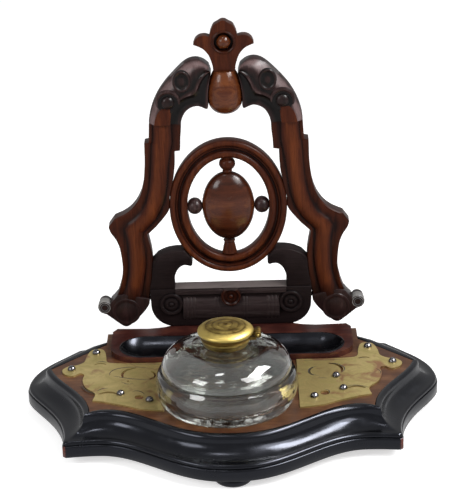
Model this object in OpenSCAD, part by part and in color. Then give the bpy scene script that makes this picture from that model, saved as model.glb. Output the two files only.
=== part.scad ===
// Desk inkstand: a serpentine base on three bun feet, with an ebonised moulding, brass plates,
// a pen tray, a squat glass inkwell under a hinged brass lid, and a pierced and carved back panel.
// Millimetres. X runs to the right, Y away from the writer and Z up from the table.
// The origin is on the table, under the middle of the object.

/* [Base] */
// Overall width, across the two side lobes
base_w = 280; // [268:1:300]
// Overall depth, from the plinth's front to the back of the panel's ball
base_d = 196; // [190:1:204]
// Height of the plinth's underside above the table
foot_show = 7; // [5:0.5:10]
// Height of the flat plinth face
plinth_h = 8; // [6:0.5:10]
// Height of the board's top above the plinth face
mould_rise = 15; // [13:0.5:18]
// Width of the moulding at the middle of the front
mould_w = 22; // [19:0.5:25]
// Width of the moulding at the two side tips
side_w = 17; // [15:0.5:20]
// How far the middle of the front stands ahead of the hollows beside it
front_bow = 38; // [30:1:44]
// Distance of each front corner from the middle
cusp_x = 110; // [104:1:116]
// Thickness of the veneered top board
board_t = 8; // [7:0.5:10]
// Diameter of a bun foot
foot_d = 25; // [20:1:28]

/* [Pen tray] */
// Height of the tray block above the board
tray_h = 4; // [3:0.5:8]
// Length of the tray's opening
tray_l = 156; // [130:1:158]
// Width of the tray's opening
tray_w = 34; // [28:1:36]
// Width of the rim round the scooped hollow
tray_rim = 1.5; // [1:0.1:3]
// Radius of the scooped hollow
scoop_r = 20; // [19:0.5:24]

/* [Brass plates and studs] */
// Thickness of the engraved plates
plate_t = 1; // [0.6:0.1:1.6]
// Diameter of a stud's dome
stud_d = 5.6; // [4:0.1:7]
// Height of a stud's dome
stud_h = 2.8; // [1.5:0.1:3.2]

/* [Inkwell] */
// Greatest diameter of the glass
glass_d = 93; // [84:0.5:97]
// Height of the glass without its neck
glass_h = 40; // [36:0.5:46]
// Height of the neck
neck_h = 7.9; // [5:0.1:9]
// Diameter of the neck's bore
bore_d = 21; // [16:0.5:22]
// Thickness of the glass at its floor
glass_floor = 5; // [3:0.5:8]
// Thickness of the glass wall
glass_wall = 5; // [3:0.5:7]
// Depth of the round recess that the glass sits in
recess = 1; // [0.5:0.1:2]
// Diameter of the lid
lid_d = 36.5; // [34:0.5:40]
// Height of the lid's rim
lid_rim = 2.2; // [1.6:0.1:3]
// Rise of the lid's dome above its rim
lid_rise = 3.8; // [2:0.1:6]
// Diameter of the hinge pin
pin_d = 1.6; // [1.2:0.1:2]
// Length of the hinge barrel
barrel_l = 10; // [8:0.5:14]

/* [Back panel] */
// Height of the joint between leg and head above the tray block
leg_h = 150; // [146:0.5:154]
// Distance of the leg's shoulder from the middle
shoulder_x = 83.8; // [81:0.2:87]
// Distance of the foot's scroll from the middle
foot_reach = 94.5; // [92:0.5:98]
// Thickness of the panel's legs
panel_t = 13; // [11:0.5:14]
// Thickness of the carved scroll heads
head_t = 16; // [14:0.5:18]
// Height of the bottom rail
rail_h = 28.5; // [27:0.5:30]
// Width of the bottom rail
rail_w = 113; // [111:0.5:114]
// Width of the oval ring
ring_w = 81.4; // [80:0.2:83]
// Height of the oval ring
ring_h = 97; // [94:0.5:99]
// Width of the ring's band
ring_band = 12.3; // [10:0.1:14]
// Height of the ring's centre above the tray block
ring_z = 88.5; // [87:0.5:90]
// Width of the oval boss
boss_w = 36.4; // [32:0.2:40]
// Height of the oval boss
boss_h = 50; // [44:0.5:54]
// Depth of the oval boss
boss_t = 20; // [16:0.5:24]
// Diameter of the turned ball between the heads
ball_d = 22.4; // [20:0.2:22.8]
// Height of the turned ball, which is flat on top
ball_h = 30.4; // [28:0.2:32]
// Height of the ball's widest point above the joint between leg and head
ball_rise = 20; // [18:0.5:21]
// Thickness of the fretted finial
finial_t = 8; // [6:0.5:10]
// Height of the finial above the ball
finial_h = 35.2; // [33:0.2:40]

/* [Fixings] */
// Diameter of the dowels that join the panel
dowel_d = 3; // [2:0.2:4]
// Diameter of a rail screw's shank
screw_d = 4; // [3.4:0.2:5]
// Diameter of a rail screw's head
screw_head_d = 8; // [7:0.2:9]
// Distance of each rail screw from the middle
screw_x = 22; // [18:1:26]
// Diameter of a stud's shank
stud_shank = 1.8; // [1.4:0.1:2.4]
// Length of a stud's shank
stud_l = 6; // [4:0.5:7]

/* [Fits] */
// Radial clearance of a pin or dowel in its hole
pin_fit = 0.05; // [0.02:0.01:0.1]
// Gap between pieces that meet on a curved edge
joint_gap = 0.3; // [0.2:0.05:0.5]

/* [Hidden] */
$fn = 64;

walnut = "#5a2f1a";
dark_walnut = "#33201a";
ebonised = "#17171b";
brass = "#a08a48";
steel = "#8a8790";
glass = "#cfd6d2";

// Levels, from the table up
plinth_top = foot_show + plinth_h;
board_top = plinth_top + mould_rise;
board_z = board_top - board_t;
core_z = foot_show + 1;
flange_h = 4;
block_top = board_top + tray_h;
panel_y = base_d / 2 - ball_d / 2;
bulge_y = panel_y + panel_t / 2;
panel_front = -panel_t / 2;

// Curves in plan and in elevation
function mirrored(pts) = [for (i = [len(pts) - 1:-1:0]) [-pts[i].x, pts[i].y]];
function both_sides(pts) = concat(pts, mirrored(pts));
function arc(c, r, from, to, n) =
    [for (i = [0:n]) let (a = from + (to - from) * i / n) c + r * [cos(a), sin(a)]];
function oval(rx, rz, from, to, n) =
    [for (i = [0:n]) let (a = from + (to - from) * i / n) [rx * cos(a), rz * sin(a)]];
function cubic(a, b, c, d, t) =
    pow(1 - t, 3) * a + 3 * pow(1 - t, 2) * t * b + 3 * (1 - t) * t * t * c + t * t * t * d;
function quadratic(a, b, c, t) = pow(1 - t, 2) * a + 2 * (1 - t) * t * b + t * t * c;
function blend(a, b, t) = a + (b - a) * t;
// A smooth curve through the given points, in steps pieces for each gap
function through(p, steps) = let (m = len(p))
    [for (i = [0:m - 2], k = [0:steps - 1])
        let (a = p[max(i - 1, 0)], b = p[i], c = p[i + 1], d = p[min(i + 2, m - 1)], t = k / steps)
            b + (c - a) * t / 2 + (2 * a - 5 * b + 4 * c - d) * t * t / 2
                + (3 * b - a - 3 * c + d) * t * t * t / 2,
        p[m - 1]];

// The serpentine front: the outer line is the plinth's face and the inner line is the board's edge
corner_in = 17.5;
hollow_out = 24;
hollow_in = 10.5;
corner_x = cusp_x - corner_in;
function swell(x, x_flat, skew) = (1 - cos(180 * pow(min(x / x_flat, 1), skew))) / 2;
function flick(x, x_flat, x_end, drop) = drop * pow(max(x - x_flat, 0) / (x_end - x_flat), 2);
function front_out(x) = -base_d / 2 + front_bow * swell(x, cusp_x - hollow_out, 1.15)
    - flick(x, cusp_x - hollow_out, cusp_x, 2);
function front_in(x) = mould_w - base_d / 2 + (front_bow - 1) * swell(x, corner_x - hollow_in, 1.25)
    - flick(x, corner_x - hollow_in, corner_x, 3.5);

// Each station of the moulding is a pair: a point on the board's edge and one on the plinth's face
FRONT_STEPS = 18;
front_half = [for (i = [0:FRONT_STEPS]) let (s = i / FRONT_STEPS)
    [[corner_x * s, front_in(corner_x * s)], [cusp_x * s, front_out(cusp_x * s)]]];
lobe_y = 24;
lobe = [base_w / 2, lobe_y];
tip = [base_w / 2 - side_w, lobe_y - 1];
cusp = front_half[FRONT_STEPS][1];
corner = front_half[FRONT_STEPS][0];
// The board narrows behind its tips to a back corner, beside the end of the tray block
block_x = tray_l / 2 + 6;
back_x = block_x + 4;
back_corner = [block_x + 10, tip.y + 31];
SIDE_STEPS = 12;
LOBE_STEPS = 5;
side_stations = concat(
    [for (i = [0:SIDE_STEPS]) let (t = i / SIDE_STEPS)
        [cubic(corner, corner + [2.5, 28.5], tip - [6, 22], tip, t),
            cubic(cusp, cusp + [-3, 44], lobe - [0, 20], lobe, t)]],
    [for (i = [1:LOBE_STEPS]) let (t = i / LOBE_STEPS)
        [blend(tip, back_corner, 0.55 * t), quadratic(lobe, lobe + [0, 20], lobe + [-14, 37], t)]],
    [[back_corner, lobe + [-30, 56]],
        [[back_x, tip.y + 37], [back_x, lobe.y + 63]]]);
front_stations = concat(
    [for (i = [FRONT_STEPS:-1:1]) let (s = front_half[i]) [[-s[0].x, s[0].y], [-s[1].x, s[1].y]]],
    front_half);

// Section of the moulding as [distance out from the board's edge, height]
rebate = 0.75 * mould_w;
nose_r = 2;
roll_r = 3.2;
sweep_a = mould_w - 0.8 - nose_r - 2.3 - roll_r;
sweep_b = mould_rise - 3 - nose_r - 1;
roll_proud = 0.4;
mould_section = concat(
    [[rebate, foot_show], [mould_w, foot_show], [mould_w, plinth_top], [mould_w - 0.8, plinth_top]],
    [for (a = [0:45:90]) [mould_w - 0.8 - nose_r + nose_r * cos(a), plinth_top + 1 + nose_r * sin(a)]],
    [for (a = [15:15:90])
        [mould_w - 0.8 - nose_r - sweep_a * sin(a), plinth_top + 1 + nose_r + sweep_b * (1 - cos(a))]],
    [for (a = [30:30:90]) [2.3 + roll_r * cos(a), board_top - 3 + (3 + roll_proud) * sin(a)]],
    [[0, board_top + roll_proud], [0, core_z + flange_h], [rebate, core_z + flange_h]]);

// Back edge of the core, board and tray block, with the bulge that carries the panel
back_y = bulge_y - 15;
back_edge = concat(
    [[back_x - 6, back_y]],
    through([[60, back_y - 1], [48, back_y + 1], [40, back_y + 6], [34, bulge_y - 2]], 3),
    [[30, bulge_y]]);
board_outline = both_sides(concat(
    [for (s = front_half) s[0]],
    [for (i = [1:len(side_stations) - 1]) side_stations[i][0]],
    [[back_x, back_y]], back_edge));
flange_outline = both_sides(concat(
    [for (s = front_half) blend(s[0], s[1], rebate / mould_w)],
    [for (i = [1:len(side_stations) - 1])
        blend(side_stations[i][0], side_stations[i][1], rebate / mould_w)],
    [[back_x, back_y]], back_edge));

// Feet
front_foot_y = 15.5 - base_d / 2;
rear_foot = [block_x - 6, back_y - 24.3];
spigot_d = 10;
spigot_h = 3.5;

// Tray block and trough
tray_y = 47;
block_front = tray_y - tray_w / 2 - 1.5;
trough_reach = tray_l / 2 - tray_w / 2;
trough_z = block_top + 0.4;
scoop_half = tray_w / 2 - tray_rim;
scoop_z = trough_z + sqrt(pow(scoop_r, 2) - pow(scoop_half, 2));
trough_floor = 2;
trough_base = scoop_z - scoop_r - trough_floor;

// Inkwell, a little left of the middle
well = [-3, -26.5];
well_z = board_top - recess;
well_foot_r = glass_d / 2 - 4.5;
belly_z = 15;
shoulder_z = 22.5;
neck_r = 13.2;
neck_top = well_z + glass_h + neck_h;
collar_z = well_z + glass_h + joint_gap;
lid_gap = 0.3;
lid_z = neck_top + lid_gap;
knuckle_r = pin_d / 2 + 1.3;
hinge = [lid_d / 2 + knuckle_r + 0.65, lid_z - 0.4];
knuckle_gap = 0.15;
middle_l = 3.2;
pin_proud = 0.4;

// Rail screws, driven up through the core, the board and the block into the rail
screw_sunk = 3;
screw_bite = 15.5;
screw_thread_d = screw_d - 1;
screw_slot = [screw_head_d + 2, 1, 1];
screw_hole_d = screw_d + 0.2;

// Studs, as placed on the right and on the left
// A point on the board: the share of the way from the block's end to the tip, and the distance
// behind the tip
plate_span = tip.x - block_x;
function on_board(p) = [block_x + p.x * plate_span, tip.y + p.y];
stud_sites = [on_board([0.254, 22]), on_board([0.641, -3]), on_board([-0.259, -42]),
    [glass_d / 2 + 7.5, well.y - 3]];
right_extra = on_board([-0.367, -23]);
stud_z = board_top + plate_t;

// Back panel, in its own plane: [distance from the middle, height above the tray block]
ring_c = [0, ring_z];
ring_rx = ring_w / 2;
ring_rz = ring_h / 2;
hole_rx = ring_rx - ring_band;
hole_rz = ring_rz - ring_band;
function ring_edge_x(z, gap) = (ring_rx + gap) * sqrt(1 - pow((z - ring_z) / (ring_rz + gap), 2));
function ring_edge_z(x, gap) = ring_z - (ring_rz + gap) * sqrt(1 - pow(x / (ring_rx + gap), 2));
head_out = 52.4;
head_in = 30.6;
ball_z = leg_h + ball_rise;
foot_eye_r = 4.5;
foot_eye = [foot_reach - foot_eye_r, 18.2];
rail_roll_r = 13.5;
rail_roll_out = 3.8;
rail_roll_y = panel_front - rail_roll_out + rail_roll_r;

rail_roll_l = 68;
rail_rosette = [42, 18];
rail_rosette_r = 7;
patera_r = 7;
patera_z = rail_h - 5;
foot_boss = [75.4, 12];
foot_boss_r = 8.5;
head_rosette = [38, 165];
head_rosette_r = 5.5;

// Dowels: each is a pair of its two ends, and its height or its place across
dowel_gap = 0.5;
rail_dowel_z = 20;
rail_dowel_ends = [49.5, 63.5];
ring_dowel_ends = [ring_rx - 5.7, ring_rx + 8.8];
head_dowel_x = 41.5;
head_dowel_half = 7;
ball_dowel_half = 17;
boss_dowel_in = 8;
boss_dowel_out = 4;
finial_dowel_half = 5;

// Inner edge of a leg beside the rail and the arm, from the foot up to the notch
leg_low = [for (p = through([[0.5, 21], [-0.6, 32], [-2.2, 44], [-2.4, 52], [-1.3, 61], [0.3, 69.4]], 3))
    [rail_w / 2 + p.x, p.y * leg_h / 150]];
// Outer edge of a leg, from its joint down to the shoulder, the waist and the foot's scroll
function up(z) = z * leg_h / 150;
leg_top = [[0, 150], [0.8, 136.4], [3.8, 136.4], [4.2, 120.5], [5.9, 106.5]];
leg_shoulder = [[-22.4, 97], [-17.4, 89.6], [-11.5, 85], [-4.4, 81.8], [-1.4, 79.4], [0, 75.6],
    [-1.4, 71.4], [-4.8, 66], [-7.2, 59], [-8.4, 48], [-7.4, 36.5]];
foot_top = [[-15.1, 26], [-10.9, 21.2]];
foot_under = [[-5.9, 9.4], [-11.3, 4.2], [-15.5, 1.2], [-19.1, 0.4], [-23.1, 2], [-30.3, 9],
    [-35, 14.6], [-36.6, 17.5]];
// Inner edge of a leg above the ring, up to its joint
leg_neck = [[5.6, 117], [5.2, 130.2], [1.3, 130.4], [0.8, 140], [0, 150]];
leg_outline = concat(
    [for (i = [0:2]) [head_out + leg_top[i].x, up(leg_top[i].y)]],
    through(concat(
        [for (i = [3:4]) [head_out + leg_top[i].x, up(leg_top[i].y)]],
        [for (p = leg_shoulder) [shoulder_x + p.x, up(p.y)]],
        [for (p = foot_top) [foot_reach + p.x, p.y]]), 3),
    arc(foot_eye, foot_eye_r, 150, -45, 10),
    through([for (p = foot_under) [foot_reach + p.x, p.y]], 3),
    leg_low,
    through([[rail_w / 2 - 6.9, up(76)], [ring_rx + 4.7, ring_z - 7.1],
        [ring_edge_x(ring_z - 2.5, joint_gap), ring_z - 2.5]], 2),
    [for (z = [1.5:4:21.5]) [ring_edge_x(ring_z + z, joint_gap), ring_z + z]],
    [for (p = leg_neck) [head_in + p.x, up(p.y)]]);

// Outline of a head round the ball, with its heights above the ball's centre
head_under = [[-1.2, -14.9], [-3.6, -11.3], [-7, -8.7], [-11, -7.7], [-14.2, -8.3], [-17.2, -10.1]];
head_inside = [[1, -7.5], [0.4, 0], [-0.6, 7.5], [-2.2, 14.5]];
head_top = [[-1.6, 18.5], [2.2, 22.1], [7.4, 23.9], [12.6, 23.3], [17.2, 20.5]];
head_back = [[-16, 12.7], [-10.6, 6.5], [-6.2, 0.1], [-3, -7.5], [-0.8, -13.9]];
head_outline = concat(
    [[head_in, leg_h]],
    through([for (p = head_under) [head_in + p.x, ball_z + p.y]], 2),
    through(concat(
        [for (p = concat(head_inside, head_top)) [ball_d / 2 + p.x, ball_z + p.y]],
        [for (p = head_back) [head_out + p.x, ball_z + p.y]],
        [[head_out, leg_h]]), 2));

rail_r = 14;
rail_outline = both_sides(concat(
    arc([rail_w / 2 - rail_r, rail_r], rail_r, -90, 0, 8),
    [[rail_w / 2 - 0.6, rail_h]]));

// Arms, between the rail and the underside of the ring: heights are above the ring's lowest point
function leg_side(z) = lookup(z, [for (p = leg_low) [p.y, p.x]]) - joint_gap;
arm_base = ring_z - ring_rz;
arm_out = [[-6.1, 13.4], [-11.9, 16], [-17.9, 17.2]];
arm_in = [[-26.5, 6.2], [-23.1, 6], [-19.5, 2.8]];
arm_in_x = rail_w / 2 - 17.2;
arm_outline = concat(
    [for (z = [rail_h, (rail_h + arm_base) / 2, arm_base + 4, arm_base + 9.5]) [leg_side(z), z]],
    through(concat(
        [for (p = arm_out) [rail_w / 2 + p.x, arm_base + p.y]],
        [[ring_edge_x(arm_base + 17.4, joint_gap), arm_base + 17.4]]), 3),
    [for (x = [30:-1:27]) [x, ring_edge_z(x, joint_gap)]],
    [[rail_w / 2 - 30.3, arm_base + 6.4], [rail_w / 2 - 28.9, arm_base + 5.4]],
    through(concat(
        [for (p = arm_in) [rail_w / 2 + p.x, arm_base + p.y]],
        [[arm_in_x, blend(rail_h, arm_base, 0.7)], [arm_in_x, rail_h]]), 3));

ball_low = 0.48 * ball_h;
ball_flat_r = 7.6;
ball_full = (ball_h - ball_low) / sin(acos(2 * ball_flat_r / ball_d));
finial_z = ball_z + ball_h - ball_low;
finial_neck = 7.4;
finial_eye = finial_h - 15;
eye_r = 6.7;
button_r = 4.9;
finial_outline = [for (p = both_sides(concat(
    [[finial_neck, 0], [7.7, 4]],
    through([[8.4, 6.6], [10.2, 11.4], [13.4, 15.5], [16.4, 17.5], [19.6, finial_eye - 1]], 3),
    through([[19.8, finial_eye + 0.6], [17.4, finial_eye + 3.8], [14.2, finial_eye + 5.2],
        [11.4, finial_eye + 4.8], [9.4, finial_eye + 4.4]], 3),
    through([[8.6, finial_eye + 7.4], [6.6, finial_eye + 11.6], [4, finial_h - 1.8],
        [1.6, finial_h - 0.3], [0, finial_h]], 2)))) p + [0, finial_z]];

module at_panel() translate([0, panel_y, block_top]) children();
// Stands an outline up in the panel's plane, thick in Y and centred on the panel
module fret(pts, thick) rotate([90, 0, 0]) linear_extrude(thick, center = true) polygon(pts);
module mirror_copies() {
    children();
    mirror([1, 0, 0]) children();
}
module along_y(p, r, from, to) translate([p.x, from, p.y]) rotate([-90, 0, 0]) cylinder(h = to - from, r = r);
module along_x(from, to, y, z, r) translate([from, y, z]) rotate([0, 90, 0]) cylinder(h = to - from, r = r);

// Solid that runs through a list of stations with one section
module run_of(stations, section) {
    m = len(stations);
    n = len(section);
    points = [for (s = stations, q = section)
        let (p = blend(s[0], s[1], q[0] / mould_w)) [p.x, p.y, q[1]]];
    sides = [for (i = [0:m - 2], k = [0:n - 1])
        let (a = i * n + k, b = i * n + (k + 1) % n)
            each [[a, b, b + n], [a, b + n, a + n]]];
    ends = [[for (k = [n - 1:-1:0]) k], [for (k = [0:n - 1]) (m - 1) * n + k]];
    polyhedron(points, concat(sides, ends), convexity = 6);
}

// Dowels of the right-hand side and of the middle; a bore is a dowel with a fit round it
module dowel_x(ends, z, fit)
    along_x(ends[0] - dowel_end(fit), ends[1] + dowel_end(fit), 0, z, dowel_d / 2 + fit);
module dowel_z(x, ends, fit) translate([x, 0, ends[0] - dowel_end(fit)])
    cylinder(h = ends[1] - ends[0] + 2 * dowel_end(fit), r = dowel_d / 2 + fit);
function dowel_end(fit) = fit > 0 ? dowel_gap : 0;
module rail_dowel(fit) dowel_x(rail_dowel_ends, rail_dowel_z, fit);
module ring_dowel(fit) dowel_x(ring_dowel_ends, ring_z, fit);
module head_dowel(fit)
    dowel_z(head_dowel_x, [leg_h - head_dowel_half, leg_h + head_dowel_half], fit);
module ball_dowel(fit) dowel_x([-ball_dowel_half, ball_dowel_half], ball_z, fit);
module finial_dowel(fit)
    dowel_z(0, [finial_z - finial_dowel_half, finial_z + finial_dowel_half], fit);
module side_dowel(fit) dowel_x([boss_w / 2 - boss_dowel_in, hole_rx + boss_dowel_out], ring_z, fit);
module top_dowel(fit) dowel_z(0,
    [ring_z + boss_h / 2 - boss_dowel_in, ring_z + hole_rz + boss_dowel_out], fit);
module drop_dowel(fit) dowel_z(0,
    [ring_z - hole_rz - boss_dowel_out, ring_z - boss_h / 2 + boss_dowel_in], fit);

module base_core() color(walnut) difference() {
    union() {
        translate([0, 0, core_z]) linear_extrude(flange_h) polygon(flange_outline);
        translate([0, 0, core_z]) linear_extrude(board_z - core_z) polygon(board_outline);
    }
    for (p = [[0, front_foot_y], rear_foot, [-rear_foot.x, rear_foot.y]])
        translate([p.x, p.y, core_z - 1]) cylinder(h = spigot_h + 1.2, d = spigot_d + 2 * pin_fit);
    screw_holes(screw_head_d + 0.4);
}

module screw_holes(head) for (x = [-screw_x, screw_x]) translate([x, panel_y, 0]) {
    translate([0, 0, core_z - 1]) cylinder(h = block_top - core_z + 3, d = screw_hole_d);
    if (head > 0) translate([0, 0, core_z - 1]) cylinder(h = screw_sunk + 1 + pin_fit, d = head);
}
module top_board() color(walnut) difference() {
    translate([0, 0, board_z]) linear_extrude(board_t) polygon(board_outline);
    translate([well.x, well.y, well_z]) cylinder(h = recess + 1, r = well_foot_r + 1);
    trough_body(pin_fit, board_top + 1);
    screw_holes(0);
    for (s = concat(stud_sites, [right_extra])) stud_hole(s);
    for (s = stud_sites) stud_hole([-s.x, s.y]);
}

module front_moulding() color(ebonised) run_of(front_stations, mould_section);
module right_moulding() color(ebonised) run_of(side_stations, mould_section);
module left_moulding() mirror([1, 0, 0]) right_moulding();

module bun_foot() {
    r = foot_d / 2;
    rotate_extrude() polygon(concat(
        [[0, 0], [r - 4, 0]],
        arc([r - 3.2, 3.4], 3.2, -75, 80, 8),
        [[r - 3, core_z], [spigot_d / 2, core_z], [spigot_d / 2, core_z + spigot_h],
            [0, core_z + spigot_h]]));
}
module front_foot() color(ebonised) translate([0, front_foot_y, 0]) bun_foot();
module rear_feet() color(ebonised) mirror_copies() translate([rear_foot.x, rear_foot.y, 0]) bun_foot();

// Stadium that the trough fills, from its base up to a level
module trough_body(gap, top) {
    translate([0, tray_y, trough_base - gap]) linear_extrude(top - trough_base + gap) union() {
        square([2 * trough_reach, tray_w + 2 * gap], center = true);
        for (x = [-trough_reach, trough_reach]) translate([x, 0]) circle(d = tray_w + 2 * gap);
    }
}
function block_outline(gap) = both_sides(concat(
    [for (a = [-90:15:0]) [trough_reach, tray_y]
        + [(block_x + gap - trough_reach) * cos(a), (tray_y - block_front + gap) * sin(a)]],
    [[block_x + gap, back_y - 5], [block_x - 3, back_y]],
    [for (i = [1:len(back_edge) - 1]) back_edge[i]]));
module tray_block() color(walnut) difference() {
    translate([0, 0, board_top]) linear_extrude(tray_h) polygon(block_outline(0));
    trough_body(pin_fit, block_top + 1);
    screw_holes(0);
}
module pen_trough() color(ebonised) difference() {
    trough_body(0, trough_z);
    reach = tray_l / 2 - tray_rim - scoop_half;
    along_x(-reach, reach, tray_y, scoop_z, scoop_r);
    for (x = [-reach, reach]) translate([x, tray_y, scoop_z]) sphere(scoop_r);
}

// Brass plates with their pierced scrolls, and the studs that hold them down
// Outline of a plate: its edge along the tray block, round the outer studs and along the front
patch_d = 6;
plate_side = [[-0.256, 4.8], [0, 6.2], [0.06, 10.6], [0.072, 16.6], [0.128, 26.6], [0.246, 29], [0.359, 26],
    [0.42, 16.6], [0.446, 8], [0.579, 3.2], [0.703, 2.2], [0.805, -3.8], [0.738, -10.6], [0.59, -12.8],
    [0.492, -9.2], [0.405, -12], [0.42, -19.8], [0.344, -31.4], [0.169, -40.4], [0.195, -50.4]];
plate_front = [[0, -52.4], [-0.18, -55.4], [-0.385, -59], [-0.615, -63.8], [-0.897, -66.4],
    [-1.026, -67]];
plate_outline = concat(
    [on_board([-1.026, 4.6]), on_board([-0.462, 4.6])],
    through([for (p = plate_side) on_board(p)], 3),
    through([for (p = plate_front) on_board(p)], 3));
// Pierced crescent, its radius a share of the plate's span beside the block
module crescent(p, share, thick, angle) translate(on_board(p)) rotate(angle) difference() {
    r = share * plate_span;
    circle(r = r);
    translate([thick, 0]) circle(r = r);
    translate([-r / 2, -r]) square([3 * r, 2 * r]);
}
module right_plate() difference() {
    translate([0, 0, board_top]) linear_extrude(plate_t) difference() {
        intersection() {
            polygon(plate_outline);
            polygon(board_outline);
        }
        polygon(block_outline(joint_gap));
        translate(well) circle(r = well_foot_r + 2);
        crescent([-0.487, -12.5], 0.256, 2, -150);
        crescent([-0.654, -15], 0.192, 1.6, 0);
        crescent([-0.051, -45.5], 0.192, 2.2, -90);
        crescent([0.154, 1], 0.128, 1.2, -90);
        translate(on_board([-0.59, -47.5])) circle(d = patch_d);
    }
    for (s = concat(stud_sites, [right_extra])) stud_hole(s);
}
module brass_plate_right() color(brass) right_plate();
module brass_plate_left() color(brass) difference() {
    mirror([1, 0, 0]) right_plate();
    translate([well.x, well.y, board_top - 1]) cylinder(h = plate_t + 2, r = well_foot_r + 2);
}
module stud_hole(s) translate([s.x, s.y, stud_z - stud_l - 0.2])
    cylinder(h = stud_l + 1, d = stud_shank + 2 * pin_fit);
module stud(s) {
    cap_r = (pow(stud_d / 2, 2) + pow(stud_h, 2)) / (2 * stud_h);
    half = asin(stud_d / 2 / cap_r);
    translate([s.x, s.y, stud_z]) rotate_extrude() polygon(concat(
        [[0, -stud_l], [stud_shank / 2, -stud_l], [stud_shank / 2, 0], [stud_d / 2, 0]],
        arc([0, stud_h - cap_r], cap_r, 90 - half, 90, 8)));
}
module studs_right() color(steel) for (s = concat(stud_sites, [right_extra])) stud(s);
module studs_left() color(steel) for (s = stud_sites) stud([-s.x, s.y]);

// Inkwell: glass, collar and hinged lid, all turned about the well's own axis
module at_well(z) translate([well.x, well.y, z]) children();
well_outer = concat(
    [[0, 0], [well_foot_r - 1.5, 0], [well_foot_r + 0.4, 0.8]],
    through([[well_foot_r + 2.6, 4], [glass_d / 2 - 0.4, 9.5], [glass_d / 2, belly_z],
        [glass_d / 2 - 0.9, 19.5], [glass_d / 2 - 2.6, shoulder_z]], 3),
    [[glass_d / 2 - 3.8, shoulder_z + 0.3]],
    [for (a = [8:8:80]) [neck_r + 1 + (glass_d / 2 - 4.6 - neck_r) * cos(a),
        shoulder_z + (glass_h - shoulder_z) * sin(a)]],
    [[neck_r, glass_h], [neck_r, glass_h + neck_h]]);
well_cavity = concat(
    [[0, glass_floor], [well_foot_r - glass_wall - 4, glass_floor]],
    arc([well_foot_r - glass_wall - 3, glass_floor + 7], 7, -82, 0, 5),
    [[glass_d / 2 - glass_wall - 0.6, belly_z], [glass_d / 2 - glass_wall - 2.2, shoulder_z - 2.6]],
    [for (a = [12:12:84]) [bore_d / 2 + (glass_d / 2 - glass_wall - 2.6 - bore_d / 2) * cos(a),
        shoulder_z - 2.6 + (glass_h - glass_wall - shoulder_z + 2.6) * sin(a)]],
    [[bore_d / 2, glass_h - glass_wall + 0.6], [bore_d / 2, glass_h + neck_h + 1],
        [0, glass_h + neck_h + 1]]);
module glass_well() color(glass, 0.5) at_well(well_z) difference() {
    rotate_extrude() polygon(well_outer);
    rotate_extrude() polygon(well_cavity);
}
module knuckle(ends) along_y(hinge, knuckle_r, ends[0], ends[1]);
module hinge_bore(fit) along_y(hinge, pin_d / 2 + fit, -barrel_l / 2 - 2, barrel_l / 2 + 2);
module neck_collar() color(brass) difference() {
    union() {
        at_well(0) rotate_extrude() polygon([
            [neck_r + pin_fit, collar_z], [neck_r + 1.2, collar_z], [neck_r + 1.6, collar_z + 1.2],
            [neck_r + 3, neck_top - 2.4], [neck_r + 3, neck_top - 1.2], [neck_r + 2.2, neck_top],
            [neck_r + pin_fit, neck_top]]);
        at_well(0) for (ends = [[middle_l / 2 + knuckle_gap, barrel_l / 2],
                [-barrel_l / 2, -middle_l / 2 - knuckle_gap]]) {
            knuckle(ends);
            leaf(ends, neck_r + 1.4, neck_top - 3.4, neck_top - 1.4);
        }
    }
    at_well(0) hinge_bore(pin_fit / 2);
}
// Flat arm of a hinge leaf, which runs in to the ring that it is part of
module leaf(ends, x, low, high)
    translate([x, ends[0], low]) cube([hinge.x - x, ends[1] - ends[0], high - low]);
module hinge_pin() color(brass) at_well(0)
    along_y(hinge, pin_d / 2, -barrel_l / 2 - pin_proud, barrel_l / 2 + pin_proud);
module lid() color(brass) difference() {
    r = lid_d / 2;
    union() {
        at_well(lid_z) rotate_extrude() polygon(concat(
            [[0, 0], [r - 1, 0], [r - 0.2, 0.7], [r, 1.4], [r - 0.3, lid_rim]],
            [for (a = [20:14:90]) [(r - 0.8) * cos(a), lid_rim - 0.3 + (lid_rise + 0.3) * sin(a)]],
            [[0, lid_rim + lid_rise]]));
        at_well(0) knuckle([-middle_l / 2, middle_l / 2]);
        at_well(0) leaf([-middle_l / 2, middle_l / 2], r - 2, lid_z + 0.2, lid_z + 1.6);
    }
    at_well(lid_z - 1) cylinder(h = 1.8, r = bore_d / 2 - 0.5);
    at_well(0) hinge_bore(pin_fit);
}

// Bottom rail of the panel, standing on the tray block
module bottom_rail() color(dark_walnut) at_panel() difference() {
    union() {
        fret(rail_outline, panel_t);
        intersection() {
            along_x(-rail_roll_l / 2, rail_roll_l / 2, rail_roll_y, rail_roll_r, rail_roll_r);
            translate([-rail_w / 2, panel_front - 10, 0]) cube([rail_w, 10 + panel_t / 2, rail_h]);
        }
    }
    for (x = [-screw_x, screw_x])
        translate([x, 0, -1]) cylinder(h = screw_bite + 1.5, d = screw_thread_d + 2 * pin_fit);
    mirror_copies() rail_dowel(pin_fit);
}
module rail_screws() color(steel) for (x = [-screw_x, screw_x]) translate([x, panel_y, core_z]) difference() {
    union() {
        cylinder(h = screw_sunk, d1 = screw_head_d, d2 = screw_d);
        cylinder(h = block_top - core_z, d = screw_d);
        cylinder(h = block_top - core_z + screw_bite, d = screw_thread_d);
    }
    translate([-screw_slot.x / 2, -screw_slot.y / 2, -1]) cube(screw_slot + [0, 0, 1]);
}
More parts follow.
